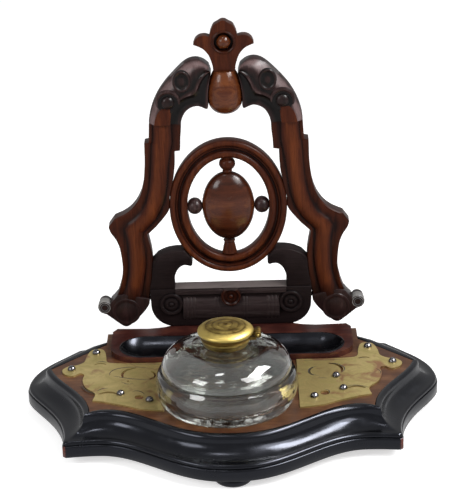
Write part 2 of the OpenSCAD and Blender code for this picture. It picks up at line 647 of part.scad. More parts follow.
// Turned ornament on the front face, its axis pointing at the writer
module rosette(p, r, thick) translate([p.x, panel_front, p.y]) rotate([90, 0, 0]) {
    rotate_extrude() polygon([[0, 0], [r, 0], [r, thick * 0.6], [r - 1.2, thick], [r - 2.2, thick * 0.6],
        [r * 0.45, thick * 0.6], [r * 0.3, thick], [0, thick * 1.2]]);
}
module rail_rosettes() color(dark_walnut) at_panel() mirror_copies()
    rosette(rail_rosette, rail_rosette_r, 3);
module rail_patera() color(walnut) at_panel() difference() {
    translate([0, panel_front - 2.5, 0]) fret(concat(
        arc([0, patera_z], patera_r, 180, 360, 16), [[patera_r, rail_h], [-patera_r, rail_h]]), 5);
    along_x(-2 * patera_r, 2 * patera_r, rail_roll_y, rail_roll_r, rail_roll_r + 0.02);
}

module right_leg_solid() difference() {
    fret(leg_outline, panel_t);
    rail_dowel(pin_fit);
    ring_dowel(pin_fit);
    head_dowel(pin_fit);
}
module right_leg() color(walnut) at_panel() right_leg_solid();
module left_leg() color(walnut) at_panel() mirror([1, 0, 0]) right_leg_solid();
module foot_bosses() color(dark_walnut) at_panel() mirror_copies()
    rosette(foot_boss, foot_boss_r, 2.4);

module right_head_solid() difference() {
    fret(head_outline, head_t);
    head_dowel(pin_fit);
    ball_dowel(pin_fit);
}
module right_head() color(dark_walnut) at_panel() right_head_solid();
module left_head() color(dark_walnut) at_panel() mirror([1, 0, 0]) right_head_solid();
module head_rosettes() color(dark_walnut) at_panel() mirror_copies()
    translate([0, (panel_t - head_t) / 2, 0]) rosette(head_rosette, head_rosette_r, 2.4);

module right_arm() color(dark_walnut) at_panel() fret(arm_outline, panel_t - 1);
module left_arm() color(dark_walnut) at_panel() fret(mirrored(arm_outline), panel_t - 1);

// A flat oval band of the ring between two offsets from its outer edge
RING_STEPS = 56;
module band(from, to, thick) difference() {
    fret([for (p = oval(ring_rx - from, ring_rz - from, 0, 360 - 360 / RING_STEPS, RING_STEPS - 1))
        p + ring_c], thick);
    fret([for (p = oval(ring_rx - to, ring_rz - to, 0, 360 - 360 / RING_STEPS, RING_STEPS - 1))
        p + ring_c], thick + 1);
}
groove_d = 1.5;
module oval_ring() color(walnut) at_panel() difference() {
    union() {
        band(0, ring_band, panel_t - 4 - 2 * groove_d);
        band(0.6, ring_band * 0.42, panel_t - 2);
        band(ring_band * 0.6, ring_band - 0.6, panel_t - 2);
    }
    mirror_copies() {
        ring_dowel(pin_fit);
        side_dowel(pin_fit);
    }
    top_dowel(pin_fit);
    drop_dowel(pin_fit);
}
// Flattened egg: rings of one size each, closed by a point at either end
BOSS_RINGS = 14;
BOSS_SIDES = 28;
function boss_at(i, k) = 2 + (i - 1) * BOSS_SIDES + k % BOSS_SIDES;
module boss_solid() {
    m = BOSS_RINGS - 1;
    n = BOSS_SIDES;
    points = concat(
        [[0, 0, -boss_h / 2], [0, 0, boss_h / 2]],
        [for (i = [1:m], k = [0:n - 1]) let (a = 180 * i / BOSS_RINGS - 90, b = 360 * k / n)
            [boss_w / 2 * cos(a) * cos(b), boss_t / 2 * cos(a) * sin(b), boss_h / 2 * sin(a)]]);
    polyhedron(points, concat(
        [for (k = [0:n - 1]) [0, boss_at(1, k), boss_at(1, k + 1)]],
        [for (k = [0:n - 1]) [1, boss_at(m, k + 1), boss_at(m, k)]],
        [for (i = [1:m - 1], k = [0:n - 1])
            let (a = boss_at(i, k), b = boss_at(i + 1, k), c = boss_at(i + 1, k + 1), d = boss_at(i, k + 1))
                each [[a, b, c], [a, c, d]]]));
}
module oval_boss() color(walnut) at_panel() difference() {
    translate([0, 0, ring_z]) boss_solid();
    mirror_copies() side_dowel(pin_fit);
    top_dowel(pin_fit);
    drop_dowel(pin_fit);
}
side_bead_r = (hole_rx - boss_w / 2) / 2;
end_gap = hole_rz - boss_h / 2;
module top_bead() color(dark_walnut) at_panel() difference() {
    translate([0, 0, ring_z + boss_h / 2 + end_gap / 2]) sphere(end_gap / 2);
    top_dowel(pin_fit);
}
module side_bead() difference() {
    translate([boss_w / 2 + side_bead_r, 0, ring_z]) rotate([0, 90, 0]) sphere(side_bead_r);
    side_dowel(pin_fit);
}
module right_bead() color(dark_walnut) at_panel() side_bead();
module left_bead() color(dark_walnut) at_panel() mirror([1, 0, 0]) side_bead();
module ring_drop() color(dark_walnut) at_panel() difference() {
    translate([0, 0, ring_z - hole_rz]) rotate_extrude() polygon([[0, 0.2], [2.4, 0.3],
        [4.6, 0.8], [5.2, 1.6], [4.2, end_gap * 0.6], [3.1, end_gap - 0.2], [0, end_gap - 0.2]]);
    drop_dowel(pin_fit);
}

module turned_ball() color(walnut) at_panel() difference() {
    translate([0, 0, ball_z]) rotate_extrude() polygon(concat(
        oval(ball_d / 2, ball_low, -90, 0, 10),
        oval(ball_d / 2, ball_full, 0, acos(2 * ball_flat_r / ball_d), 8),
        [[0, ball_h - ball_low]]));
    ball_dowel(pin_fit);
    finial_dowel(pin_fit);
}
module finial() color(walnut) at_panel() difference() {
    fret(finial_outline, finial_t);
    along_y([0, finial_z + finial_eye], eye_r, -finial_t, finial_t / 2 - 4);
    finial_dowel(pin_fit);
}
module finial_button() color(walnut) at_panel()
    translate([0, finial_t / 2 - 4, finial_z + finial_eye]) rotate([90, 0, 0]) rotate_extrude()
        polygon(concat([[0, 0], [button_r - 1, 0]], arc([0, 1.4], button_r, 0, 90, 10)));

module panel_dowels() color(walnut) at_panel() {
    mirror_copies() {
        rail_dowel(0);
        ring_dowel(0);
        head_dowel(0);
    }
    ball_dowel(0);
    finial_dowel(0);
}
module boss_dowels() color(walnut) at_panel() {
    mirror_copies() side_dowel(0);
    top_dowel(0);
    drop_dowel(0);
}

base_core();
top_board();
front_moulding();
left_moulding();
right_moulding();
front_foot();
rear_feet();
tray_block();
pen_trough();
brass_plate_left();
brass_plate_right();
studs_left();
studs_right();
glass_well();
neck_collar();
hinge_pin();
lid();
bottom_rail();
rail_screws();
rail_rosettes();
rail_patera();
left_leg();
right_leg();
foot_bosses();
left_head();
right_head();
head_rosettes();
left_arm();
right_arm();
oval_ring();
oval_boss();
top_bead();
left_bead();
right_bead();
ring_drop();
turned_ball();
finial();
finial_button();
panel_dowels();
boss_dowels();
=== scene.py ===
"""Looks of a desk inkstand: ebonised base, brass plates, glass well and carved walnut panel.

Every size in this file is in millimetres until a finished piece becomes an object, in metres.
"""

import logging
import math
from collections.abc import Callable, Sequence
from dataclasses import dataclass, field
from enum import Enum
from functools import cached_property, partial

import bmesh
import bpy
from mathutils import Matrix, Vector


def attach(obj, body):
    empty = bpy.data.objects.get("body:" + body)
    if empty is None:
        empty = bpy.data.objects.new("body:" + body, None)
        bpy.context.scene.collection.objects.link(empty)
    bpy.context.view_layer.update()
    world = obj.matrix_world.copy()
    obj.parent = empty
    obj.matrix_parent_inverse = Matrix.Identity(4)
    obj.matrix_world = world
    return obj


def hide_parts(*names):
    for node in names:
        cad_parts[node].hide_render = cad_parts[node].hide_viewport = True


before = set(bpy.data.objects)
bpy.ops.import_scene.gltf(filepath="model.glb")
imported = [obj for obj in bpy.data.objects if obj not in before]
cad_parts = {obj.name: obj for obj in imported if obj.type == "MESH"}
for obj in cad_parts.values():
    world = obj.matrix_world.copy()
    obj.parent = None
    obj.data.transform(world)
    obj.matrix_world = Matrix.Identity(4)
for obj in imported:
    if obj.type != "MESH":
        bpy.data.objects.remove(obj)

log = logging.getLogger("inkstand")

Flat = tuple[float, float]
Solid = tuple[float, float, float]
Points = Sequence[Sequence[float]]
Socket = bpy.types.NodeSocket

MM = 0.001
PANEL_Y = 86.8
BLOCK_TOP = 34.0
BOARD_TOP = 30.0
WELL = (-3.0, -26.5)

# Sockets of a Mix node for colours: its share, the colour below, the colour above, the result
SHARE, BELOW, ABOVE, MIXED = 0, 6, 7, 2


class Side(Enum):
    """The writer's left or right, as the sign of X."""

    LEFT = -1
    RIGHT = 1


class Axis(Enum):
    """Where a turned piece points: its own Z axis laid along one of the object's."""

    UP = Matrix.Identity(4)
    WRITER = Matrix.Rotation(math.radians(90), 4, "X")
    ACROSS = Matrix.Rotation(math.radians(90), 4, "Y")


class Grain(Enum):
    """Which way the wood's fibres run, as the stretch of a pattern along X, Y and Z."""

    ACROSS = (0.07, 1.0, 1.0)
    UPRIGHT = (1.0, 1.0, 0.07)


def srgb(code: str) -> tuple[float, float, float, float]:
    """Turns a hex colour as it is seen into the linear colour that a shader takes.

    Args:
        code: Six hex digits after a hash sign.

    Returns:
        Linear red, green, blue and an alpha of one.
    """
    parts = [int(code[i : i + 2], 16) / 255 for i in (1, 3, 5)]
    linear = [c / 12.92 if c <= 0.04045 else ((c + 0.055) / 1.055) ** 2.4 for c in parts]
    return (linear[0], linear[1], linear[2], 1.0)


def set_up(tree: bpy.types.NodeTree, node: bpy.types.Node, values: dict) -> None:
    """Gives a shader node its settings and links.

    Args:
        tree: The node tree that it is in.
        node: The node.
        values: For each property, socket name or socket number its value, as a number, a hex
            colour or the output that feeds it; "stops" are a colour ramp's places and colours.
    """
    for key, value in values.items():
        if isinstance(value, str) and value.startswith("#"):
            value = srgb(value)
        if isinstance(value, Socket):
            tree.links.new(value, node.inputs[key])
        elif key == "stops":
            for stop, (place, colour) in zip(node.color_ramp.elements, value, strict=True):
                stop.position = place
                stop.color = srgb(colour)
        elif isinstance(key, str) and hasattr(node, key):
            setattr(node, key, value)
        else:
            node.inputs[key].default_value = value


def add_node(
    tree: bpy.types.NodeTree, kind: str, values: dict | None = None, out: str | int = 0
) -> Socket:
    """Adds one shader node with its settings and links.

    Args:
        tree: The node tree that it goes into.
        kind: Blender's name for the node type, without its first word.
        values: Its settings and links, as set_up takes them.
        out: Name or number of the output that is wanted.

    Returns:
        The new node's output.
    """
    node = tree.nodes.new(f"ShaderNode{kind}")
    if kind == "ValToRGB":
        while len(node.color_ramp.elements) < len(values["stops"]):
            node.color_ramp.elements.new(0.5)
    set_up(tree, node, values or {})
    return node.outputs[out]


def through(points: Points, steps: int) -> list[tuple[float, ...]]:
    """Draws a smooth curve through given points.

    Args:
        points: The points, each with any number of coordinates.
        steps: How many pieces each gap is cut into.

    Returns:
        The points of the curve, with both ends.
    """
    last = len(points) - 1
    curve: list[tuple[float, ...]] = []
    for i in range(last):
        near = (points[max(i - 1, 0)], points[i], points[i + 1], points[min(i + 2, last)])
        for t in (k / steps for k in range(steps)):
            curve.append(tuple(
                b + (c - a) * t / 2
                + (2 * a - 5 * b + 4 * c - d) * t * t / 2
                + (3 * b - a - 3 * c + d) * t**3 / 2
                for a, b, c, d in zip(*near)
            ))
    return curve + [tuple(points[-1])]


def arc(centre: Flat, radius: float, start: float, end: float, steps: int) -> list[Flat]:
    """Points of a circular arc.

    Args:
        centre: Centre of the circle.
        radius: Its radius.
        start: First angle in degrees.
        end: Last angle in degrees.
        steps: Number of pieces.

    Returns:
        The points, with both ends.
    """
    turn = [math.radians(start + (end - start) * i / steps) for i in range(steps + 1)]
    return [(centre[0] + radius * math.cos(a), centre[1] + radius * math.sin(a)) for a in turn]


def swollen(degrees: float, power: float) -> Flat:
    """A point on a quarter of a unit circle that a power below one swells outwards."""
    a = math.radians(degrees)
    return (math.cos(a) ** power, math.sin(a) ** power)


def blend(a: Sequence[float], b: Sequence[float], t: float) -> tuple[float, ...]:
    """The point a share t of the way from a to b."""
    return tuple(p + (q - p) * t for p, q in zip(a, b))


def cubic(points: Sequence[Flat], t: float) -> Flat:
    """The point at a place on a cubic curve.

    Args:
        points: The curve's four control points.
        t: The place, from 0 at its start to 1 at its end.

    Returns:
        The point.
    """
    weights = ((1 - t) ** 3, 3 * (1 - t) ** 2 * t, 3 * (1 - t) * t * t, t**3)
    x, y = (sum(w * p[i] for w, p in zip(weights, points)) for i in (0, 1))
    return (x, y)


def on_panel(x: float, depth: float, z: float, *rub: float) -> tuple[float, ...]:
    """A point given from the panel's middle plane and the tray block's top."""
    return (x, PANEL_Y + depth, BLOCK_TOP + z, *rub)


@dataclass(frozen=True)
class Finish:
    """A finish, whose material is made once."""

    name: str

    def surface(self, add: Callable[..., Socket]) -> dict:
        """Lays out the nodes that give the finish its look.

        Args:
            add: Adds a node to the material.

        Returns:
            What the surface shader's sockets are set to or fed by.
        """
        raise NotImplementedError

    @cached_property
    def material(self) -> bpy.types.Material:
        """The material, made when the first piece takes it.

        Returns:
            The finished material.
        """
        material = bpy.data.materials.new(self.name)
        material.use_nodes = True
        tree = material.node_tree
        values = self.surface(partial(add_node, tree))
        set_up(tree, tree.nodes["Principled BSDF"], values)
        return material


@dataclass(frozen=True)
class PolishedWalnut(Finish):
    """Walnut, planed or carved and French polished: a warm gloss over fine pores.

    The polish gives a soft second reflection. The rubbed value paints the hollows nearly black, a
    painted shade, and the ridges an orange brown, a painted highlight.
    """

    hollow: str
    body: str
    ridge: str
    grain: Grain = Grain.ACROSS
    roughness: float = 0.36
    polish: float = 0.1
    gloss: float = 0.2
    plain_rub: float | None = None
    streak: float = 0.8
    figure_mm: float = 5.0
    pore_mm: float = 0.55

    def surface(self, add: Callable[..., Socket]) -> dict:
        """Lays out fibres, pores and wax.

        Args:
            add: Adds a node to the material.

        Returns:
            What the surface shader's sockets are set to or fed by.
        """
        place = add("TexCoord", out="Object")
        fibres = add("Mapping", {"Scale": self.grain.value, "Vector": place})
        figure = add("TexNoise", {
            "Scale": 1000 / self.figure_mm, "Detail": 5.0, "Roughness": 0.6, "Distortion": 0.9,
            "Vector": fibres,
        })
        # Pores are 0.1 mm wide in the wood; they are drawn coarser so that they show at all
        pores = add("TexNoise", {
            "Scale": 1000 / self.pore_mm, "Detail": 2.0, "Roughness": 0.5, "Vector": fibres,
        })
        # Blotches in the polish some 14 mm across
        blotches = add("TexNoise", {"Scale": 70.0, "Detail": 3.0, "Vector": place})
        # rubbed paints hollows dark and ridges light: painted shade and painted highlight. Plain
        # pieces take random blotches about one level instead.
        rub = (
            add("Attribute", {"attribute_name": "rubbed"}, "Fac")
            if self.plain_rub is None
            else add("Math", {
                "operation": "MULTIPLY_ADD", 0: blotches, 1: 0.8, 2: self.plain_rub - 0.4,
            })
        )
        uneven = add("Math", {
            "operation": "MULTIPLY_ADD", 0: figure, 1: self.streak, 2: -self.streak / 2,
        })
        level = add("Math", {"operation": "ADD", "use_clamp": True, 0: rub, 1: uneven})
        stops = ((0.08, self.hollow), (0.5, self.body), (0.92, self.ridge))
        colour = add("ValToRGB", {"stops": stops, "Fac": level})
        dark = add("MapRange", {
            "From Min": 0.36, "From Max": 0.5, "To Min": 0.74, "To Max": 1.0, "Value": pores,
        })
        return {
            "Base Color": add("Mix", {
                "data_type": "RGBA", "blend_type": "MULTIPLY",
                SHARE: 1.0, BELOW: colour, ABOVE: dark,
            }, MIXED),
            "Roughness": add("MapRange", {
                "From Min": 0.3, "From Max": 0.7, "Value": blotches,
                "To Min": self.roughness - 0.07, "To Max": self.roughness + 0.12,
            }),
            "Normal": add("Bump", {"Strength": 0.12, "Distance": 0.0002, "Height": pores}),
            "IOR": 1.5,
            "Specular IOR Level": self.gloss,
            "Coat Weight": self.polish,
            "Coat Roughness": 0.2,
        }


@dataclass(frozen=True)
class EbonisedWood(Finish):
    """Pear or beech, stained black and polished: a deep black with clean reflections.

    Fine rubbing marks blur the reflections in patches, and the sharpest corners are worn through
    to the red-brown wood.
    """

    black: str = "#060608"
    worn: str = "#6a3424"
    roughness: float = 0.15

    def surface(self, add: Callable[..., Socket]) -> dict:
        """Lays out rubbing marks and worn corners.

        Args:
            add: Adds a node to the material.

        Returns:
            What the surface shader's sockets are set to or fed by.
        """
        place = add("TexCoord", out="Object")
        # Clouds some 11 mm across, and scuffs of 1 mm that make the worn edge ragged
        cloud = add("TexNoise", {"Scale": 90.0, "Detail": 4.0, "Vector": place})
        scuffs = add("TexNoise", {"Scale": 900.0, "Detail": 3.0, "Vector": place})
        rub = add("Attribute", {"attribute_name": "rubbed"}, "Fac")
        ragged = add("Math", {"operation": "MULTIPLY_ADD", 0: scuffs, 1: 0.5, 2: rub})
        bare = add("MapRange", {"From Min": 1.0, "From Max": 1.3, "Value": ragged})
        return {
            "Base Color": add("Mix", {
                "data_type": "RGBA", SHARE: bare, BELOW: self.black, ABOVE: self.worn,
            }, MIXED),
            "Roughness": add("MapRange", {
                "From Min": 0.35, "From Max": 0.7, "Value": cloud,
                "To Min": self.roughness, "To Max": self.roughness + 0.14,
            }),
            "Normal": add("Bump", {"Strength": 0.06, "Distance": 0.0002, "Height": cloud}),
            "IOR": 1.5,
            "Specular IOR Level": 0.38,
            "Specular Tint": "#dde2f4",
        }


@dataclass(frozen=True)
class EngravedBrassSheet(Finish):
    """Brass sheet, pierced, engraved and lacquered long ago: olive gold with tired patches.

    The lacquer has failed in clouds, so that some of the sheet is dull grey olive and some is
    a reddish brown, and fine rubbing lines run across it.
    """

    gold: str = "#cbb679"
    olive: str = "#a3945c"
    mauve: str = "#96704e"

    def surface(self, add: Callable[..., Socket]) -> dict:
        """Lays out the failed lacquer and the rubbing lines.

        Args:
            add: Adds a node to the material.

        Returns:
            What the surface shader's sockets are set to or fed by.
        """
        place = add("TexCoord", out="Object")
        # Clouds some 13 mm across and patches of 20 mm
        clouds = add("TexNoise", {
            "Scale": 75.0, "Detail": 6.0, "Roughness": 0.65, "Distortion": 0.8, "Vector": place,
        })
        patches = add("TexNoise", {
            "Scale": 48.0, "Detail": 4.0, "Distortion": 1.4, "Vector": place,
        })
        # Rubbing lines about 0.4 mm apart, along the sheet
        drawn = add("Mapping", {"Scale": (0.12, 1.0, 1.0), "Vector": place})
        lines = add("TexNoise", {"Scale": 2400.0, "Detail": 2.0, "Vector": drawn})
        stops = ((0.34, self.olive), (0.62, self.gold))
        metal = add("ValToRGB", {"stops": stops, "Fac": clouds})
        tired = add("MapRange", {"From Min": 0.54, "From Max": 0.66, "Value": patches})
        return {
            "Base Color": add("Mix", {
                "data_type": "RGBA", SHARE: tired, BELOW: metal, ABOVE: self.mauve,
            }, MIXED),
            "Roughness": add("MapRange", {
                "From Min": 0.3, "From Max": 0.7, "To Min": 0.5, "To Max": 0.34, "Value": clouds,
            }),
            "Normal": add("Bump", {"Strength": 0.12, "Distance": 0.0001, "Height": lines}),
            "Metallic": 0.8,
        }


@dataclass(frozen=True)
class TurnedBrass(Finish):
    """Brass, spun and turned, with a worn lacquer: golden with brown in its grooves."""

    bright: str = "#b8a25c"
    tarnish: str = "#5c4822"

    def surface(self, add: Callable[..., Socket]) -> dict:
        """Lays out the stains, some 5 mm across.

        Args:
            add: Adds a node to the material.

        Returns:
            What the surface shader's sockets are set to or fed by.
        """
        place = add("TexCoord", out="Object")
        stains = add("TexNoise", {
            "Scale": 190.0, "Detail": 6.0, "Roughness": 0.62, "Vector": place,
        })
        rub = add("Attribute", {"attribute_name": "rubbed"}, "Fac")
        level = add("Math", {"operation": "MULTIPLY_ADD", 0: stains, 1: 0.8, 2: rub})
        stops = ((0.32, self.tarnish), (0.85, self.bright))
        return {
            "Base Color": add("ValToRGB", {"stops": stops, "Fac": level}),
            "Roughness": add("MapRange", {
                "From Min": 0.3, "From Max": 0.7, "To Min": 0.36, "To Max": 0.5, "Value": stains,
            }),
            "Metallic": 1.0,
        }


@dataclass(frozen=True)
class DomedSteel(Finish):
    """Steel stud heads, stamped and polished, greyed with age: small hard highlights."""

    grey: str = "#7c7b7f"
    brown: str = "#3a3533"

    def surface(self, add: Callable[..., Socket]) -> dict:
        """Lays out the stains, some 2 mm across.

        Args:
            add: Adds a node to the material.

        Returns:
            What the surface shader's sockets are set to or fed by.
        """
        place = add("TexCoord", out="Object")
        stains = add("TexNoise", {"Scale": 520.0, "Detail": 4.0, "Vector": place})
        stops = ((0.36, self.brown), (0.6, self.grey))
        colour = add("ValToRGB", {"stops": stops, "Fac": stains})
        return {"Base Color": colour, "Metallic": 1.0, "Roughness": 0.22}


@dataclass(frozen=True)
class PressedGlass(Finish):
    """Clear flint glass, pressed and fire polished: thick, faintly green, with soft ripples."""

    tint: str = "#d4d7d2"

    def surface(self, add: Callable[..., Socket]) -> dict:
        """Lays out the ripples.

        Args:
            add: Adds a node to the material.

        Returns:
            What the surface shader's sockets are set to or fed by.
        """
        place = add("TexCoord", out="Object")
        # The mould leaves ripples some 6 mm apart, drawn out round the glass
        level = add("Mapping", {"Scale": (0.7, 0.7, 2.6), "Vector": place})
        ripples = add("TexNoise", {"Scale": 160.0, "Detail": 2.0, "Vector": level})
        return {
            "Normal": add("Bump", {"Strength": 0.3, "Distance": 0.0006, "Height": ripples}),
            "Base Color": self.tint,
            "Transmission Weight": 1.0,
            "IOR": 1.5,
            "Roughness": 0.0,
            "Coat Weight": 0.5,
            "Coat IOR": 1.5,
            "Coat Roughness": 0.0,
        }


@dataclass(frozen=True)
class CutLine(Finish):
    """The dirt and old wax in an engraved line: matt, nearly black."""

    dirt: str = "#231c12"
    wax: str = "#4a3c22"

    def surface(self, add: Callable[..., Socket]) -> dict:
        """Lays out the crumbs of wax, under 1 mm across.

        Args:
            add: Adds a node to the material.

        Returns:
            What the surface shader's sockets are set to or fed by.
        """
        place = add("TexCoord", out="Object")
        crumbs = add("TexNoise", {"Scale": 1500.0, "Detail": 2.0, "Vector": place})
        stops = ((0.3, self.dirt), (0.8, self.wax))
        return {"Base Color": add("ValToRGB", {"stops": stops, "Fac": crumbs}), "Roughness": 0.8}


def rays_seen(add: Callable[..., Socket]) -> tuple[Socket, Socket]:
    """Tells a surface that is looked at from one that is mirrored.

    Args:
        add: Adds a node.

    Returns:
        One where the surface is seen straight or through glass, and one where it is mirrored.
    """
    rays = add("LightPath").node.outputs
    straight, through_glass = rays["Is Camera Ray"], rays["Is Transmission Ray"]
    seen = add("Math", {"operation": "MAXIMUM", 0: straight, 1: through_glass})
    return seen, rays["Is Glossy Ray"]


@dataclass(frozen=True)
class WhitePaper(Finish):
    """Matt white paper: it glows where it is seen, less so in mirrors, and lights nothing."""

    white: str = "#f3f3f3"
    in_mirrors: str = "#b4b4b4"
    glow: float = 0.6
    mirrored_glow: float = 0.65

    def surface(self, add: Callable[..., Socket]) -> dict:
        """Lays out the glow, which depends on the kind of ray.

        Args:
            add: Adds a node to the material.

        Returns:
            What the surface shader's sockets are set to or fed by.
        """
        seen, mirrored = rays_seen(add)
        faint = add("Math", {"operation": "MULTIPLY", 0: mirrored, 1: self.mirrored_glow})
        shown = add("Math", {"operation": "MAXIMUM", 0: seen, 1: faint})
        return {
            "Base Color": add("Mix", {
                "data_type": "RGBA", SHARE: mirrored, BELOW: self.white, ABOVE: self.in_mirrors,
            }, MIXED),
            "Roughness": 0.9,
            "Emission Color": (1, 1, 1, 1),
            "Emission Strength": add("Math", {"operation": "MULTIPLY", 0: shown, 1: self.glow}),
        }


RED_WALNUT = PolishedWalnut(
    "french_polished_walnut", "#180806", "#411d10", "#6e381b", Grain.UPRIGHT,
    gloss=0.07, polish=0.05,
)
# Its pale lilac-grey ridge colour is a painted highlight, along the heads' outer band.
DARK_WALNUT = PolishedWalnut(
    "dark_carved_walnut", "#0c0808", "#2e1c1b", "#75605f", Grain.UPRIGHT, 0.34, gloss=0.14
)
TURNED_WALNUT = PolishedWalnut(
    "turned_walnut", "#1b0a06", "#4c2311", "#7e4722", roughness=0.17, gloss=0.24
)
# Its pale grey ridge colour is a painted reflection of the white room, on the rail's top.
WAXED_WALNUT = PolishedWalnut(
    "waxed_black_walnut", "#0a0506", "#2e2424", "#746a68",
    roughness=0.5, gloss=0.05, polish=0.02, streak=0.3,
)
BOARD_WALNUT = PolishedWalnut("walnut_board", "#2c1710", "#5c3820", "#8e6444", plain_rub=0.5)
BLOCK_WALNUT = PolishedWalnut("walnut_block", "#1c0d0d", "#421f1a", "#6b3a28", plain_rub=0.5)
PLAIN_WALNUT = PolishedWalnut("stained_walnut", "#1c0e0b", "#42201a", "#5f3120", plain_rub=0.45)
EBONY = EbonisedWood("ebonised_polish")
DULLED_EBONY = EbonisedWood("dulled_ebony", "#50504f", "#8a8783", 0.4)
BRASS_SHEET = EngravedBrassSheet("aged_brass_sheet")
TURNED_BRASS = TurnedBrass("turned_brass")
STEEL = DomedSteel("polished_steel")
GLASS = PressedGlass("pressed_glass")
CUT = CutLine("waxed_cut")
PAPER = WhitePaper("matt_white_paper")


@dataclass
class Workpiece:
    """A piece of the object on the bench, shaped in millimetres.

    A point of it may carry one more number, rubbed: from 0 in a hollow, painted in shade, to 1 on a
    ridge, painted in highlight; on ebony, above 1 where it is worn through.
    """

    mesh: bmesh.types.BMesh = field(default_factory=bmesh.new)

    def __post_init__(self) -> None:
        """Gives the mesh its record of how worn and how lit each point is painted."""
        self.rubbed = self.mesh.verts.layers.float.new("rubbed")

    def chain(self, points: Points, closed: bool, rub: float) -> list[bmesh.types.BMEdge]:
        """Draws a line of points.

        Args:
            points: Where the points are.
            closed: Whether the last joins the first.
            rub: How worn and lit a point is painted, where it doesn't say so itself.

        Returns:
            The line's edges.
        """
        verts = []
        for x, y, z, *own in points:
            vert = self.mesh.verts.new((x, y, z))
            vert[self.rubbed] = own[0] if own else rub
            verts.append(vert)
        pairs = list(zip(verts, verts[1:])) + ([(verts[-1], verts[0])] if closed else [])
        return [self.mesh.edges.new(pair) for pair in pairs]

    def since(self, before: set[bmesh.types.BMVert]) -> list[bmesh.types.BMVert]:
        """The points made since some earlier time."""
        return [v for v in self.mesh.verts if v not in before]

    def sweep(self, stations: Sequence[Points], rub: float = 0.5, round_trip: bool = False) -> None:
        """Extrudes a closed section from station to station.

        Args:
            stations: The section's points at each station, in the same order.
            rub: How worn and lit the section is painted where its first station's points don't say
                so.
            round_trip: Whether the sweep closes on its first station, without ends.
        """
        edges = self.chain(stations[0], True, rub)
        if not round_trip:
            bmesh.ops.edgeloop_fill(self.mesh, edges=edges)
        for at, to in zip(stations, [*stations[1:], *(stations[:1] if round_trip else ())]):
            grown = bmesh.ops.extrude_edge_only(self.mesh, edges=edges)["geom"]
            fresh = {g for g in grown if isinstance(g, bmesh.types.BMVert)}
            found = {v.co.to_tuple(3): v for v in fresh}
            for old, new in zip(at, to):
                found[Vector(old[:3]).to_tuple(3)].co = new[:3]
            edges = [
                g for g in grown if isinstance(g, bmesh.types.BMEdge) and set(g.verts) <= fresh
            ]
        if not round_trip:
            bmesh.ops.edgeloop_fill(self.mesh, edges=edges)

    def turn(
        self, profile: Points, spot: Solid, axis: Axis = Axis.UP, steps: int = 64,
        rub: float = 0.5, closed: bool = False, stretch: Solid = (1.0, 1.0, 1.0),
    ) -> None:
        """Turns a profile on the lathe.

        Args:
            profile: Points as radius and height, and how worn and lit they are painted.
            spot: Where the profile's origin goes.
            axis: Where the turned piece points.
            steps: Number of pieces round it.
            rub: How worn and lit the points are painted that don't say so.
            closed: Whether the profile is a ring that never meets the axis.
            stretch: Scale along the piece's own axes, for oval turnings.
        """
        before = set(self.mesh.verts)
        edges = self.chain([(r, 0.0, *rest) for r, *rest in profile], closed, rub)
        bmesh.ops.spin(
            self.mesh, geom=self.since(before) + edges, cent=(0, 0, 0), axis=(0, 0, 1),
            angle=2 * math.pi, steps=steps, use_merge=True, use_duplicate=False,
        )
        bmesh.ops.remove_doubles(self.mesh, verts=self.since(before), dist=0.0005)
        place = Matrix.Translation(spot) @ axis.value @ Matrix.Diagonal((*stretch, 1.0))
        bmesh.ops.transform(self.mesh, matrix=place, verts=self.since(before))

    def ornament(
        self, profile: Points, at: Flat, front: float, rub: float = 0.5,
        stretch: Solid = (1.0, 1.0, 1.0),
    ) -> None:
        """Turns an ornament of the panel that faces the writer.

        Args:
            profile: Points as radius and height above its seat, and how worn and lit they are
                painted.
            at: Its centre, across and up.
            front: Depth of its seat.
            rub: How worn and lit the points are painted that don't say so.
            stretch: Scale across, up and out.
        """
        self.turn(profile, on_panel(at[0], front, at[1]), Axis.WRITER, 48, rub, stretch=stretch)

    def fret(
        self, outline: Points, front: float, back: float, eye: Points = (), rub: float = 0.5
    ) -> None:
        """Saws an upright board to an outline.

        Args:
            outline: Points across and up.
            front: Depth of the front face, from the panel's middle towards the writer if negative.
            back: Depth of the back face.
            eye: Outline of a hole through it.
            rub: How worn and lit the board is painted.
        """
        edges = self.chain([(x, front, z) for x, z in outline], True, rub)
        if eye:
            edges += self.chain([(x, front, z) for x, z in eye], True, rub)
            filled = bmesh.ops.triangle_fill(self.mesh, edges=edges, use_beauty=True)["geom"]
            faces = [g for g in filled if isinstance(g, bmesh.types.BMFace)]
        else:
            faces = bmesh.ops.contextual_create(self.mesh, geom=edges)["faces"]
        grown = bmesh.ops.extrude_face_region(self.mesh, geom=faces, use_keep_orig=True)["geom"]
        fresh = [g for g in grown if isinstance(g, bmesh.types.BMVert)]
        bmesh.ops.translate(self.mesh, vec=(0, back - front, 0), verts=fresh)

    def soften(self, width: float, segments: int, angle: float) -> None:
        """Rounds every edge that is sharper than an angle.

        Args:
            width: Width of the rounding.
            segments: Its number of facets.
            angle: The sharpness, in degrees, from which an edge is rounded.
        """
        bmesh.ops.recalc_face_normals(self.mesh, faces=self.mesh.faces)
        sharp = [
            e for e in self.mesh.edges
            if len(e.link_faces) == 2 and e.calc_face_angle(0.0) > math.radians(angle)
        ]
        bmesh.ops.bevel(
            self.mesh, geom=sharp, offset=width, offset_type="OFFSET", segments=segments,
            profile=0.5, affect="EDGES", clamp_overlap=True, material=-1,
        )

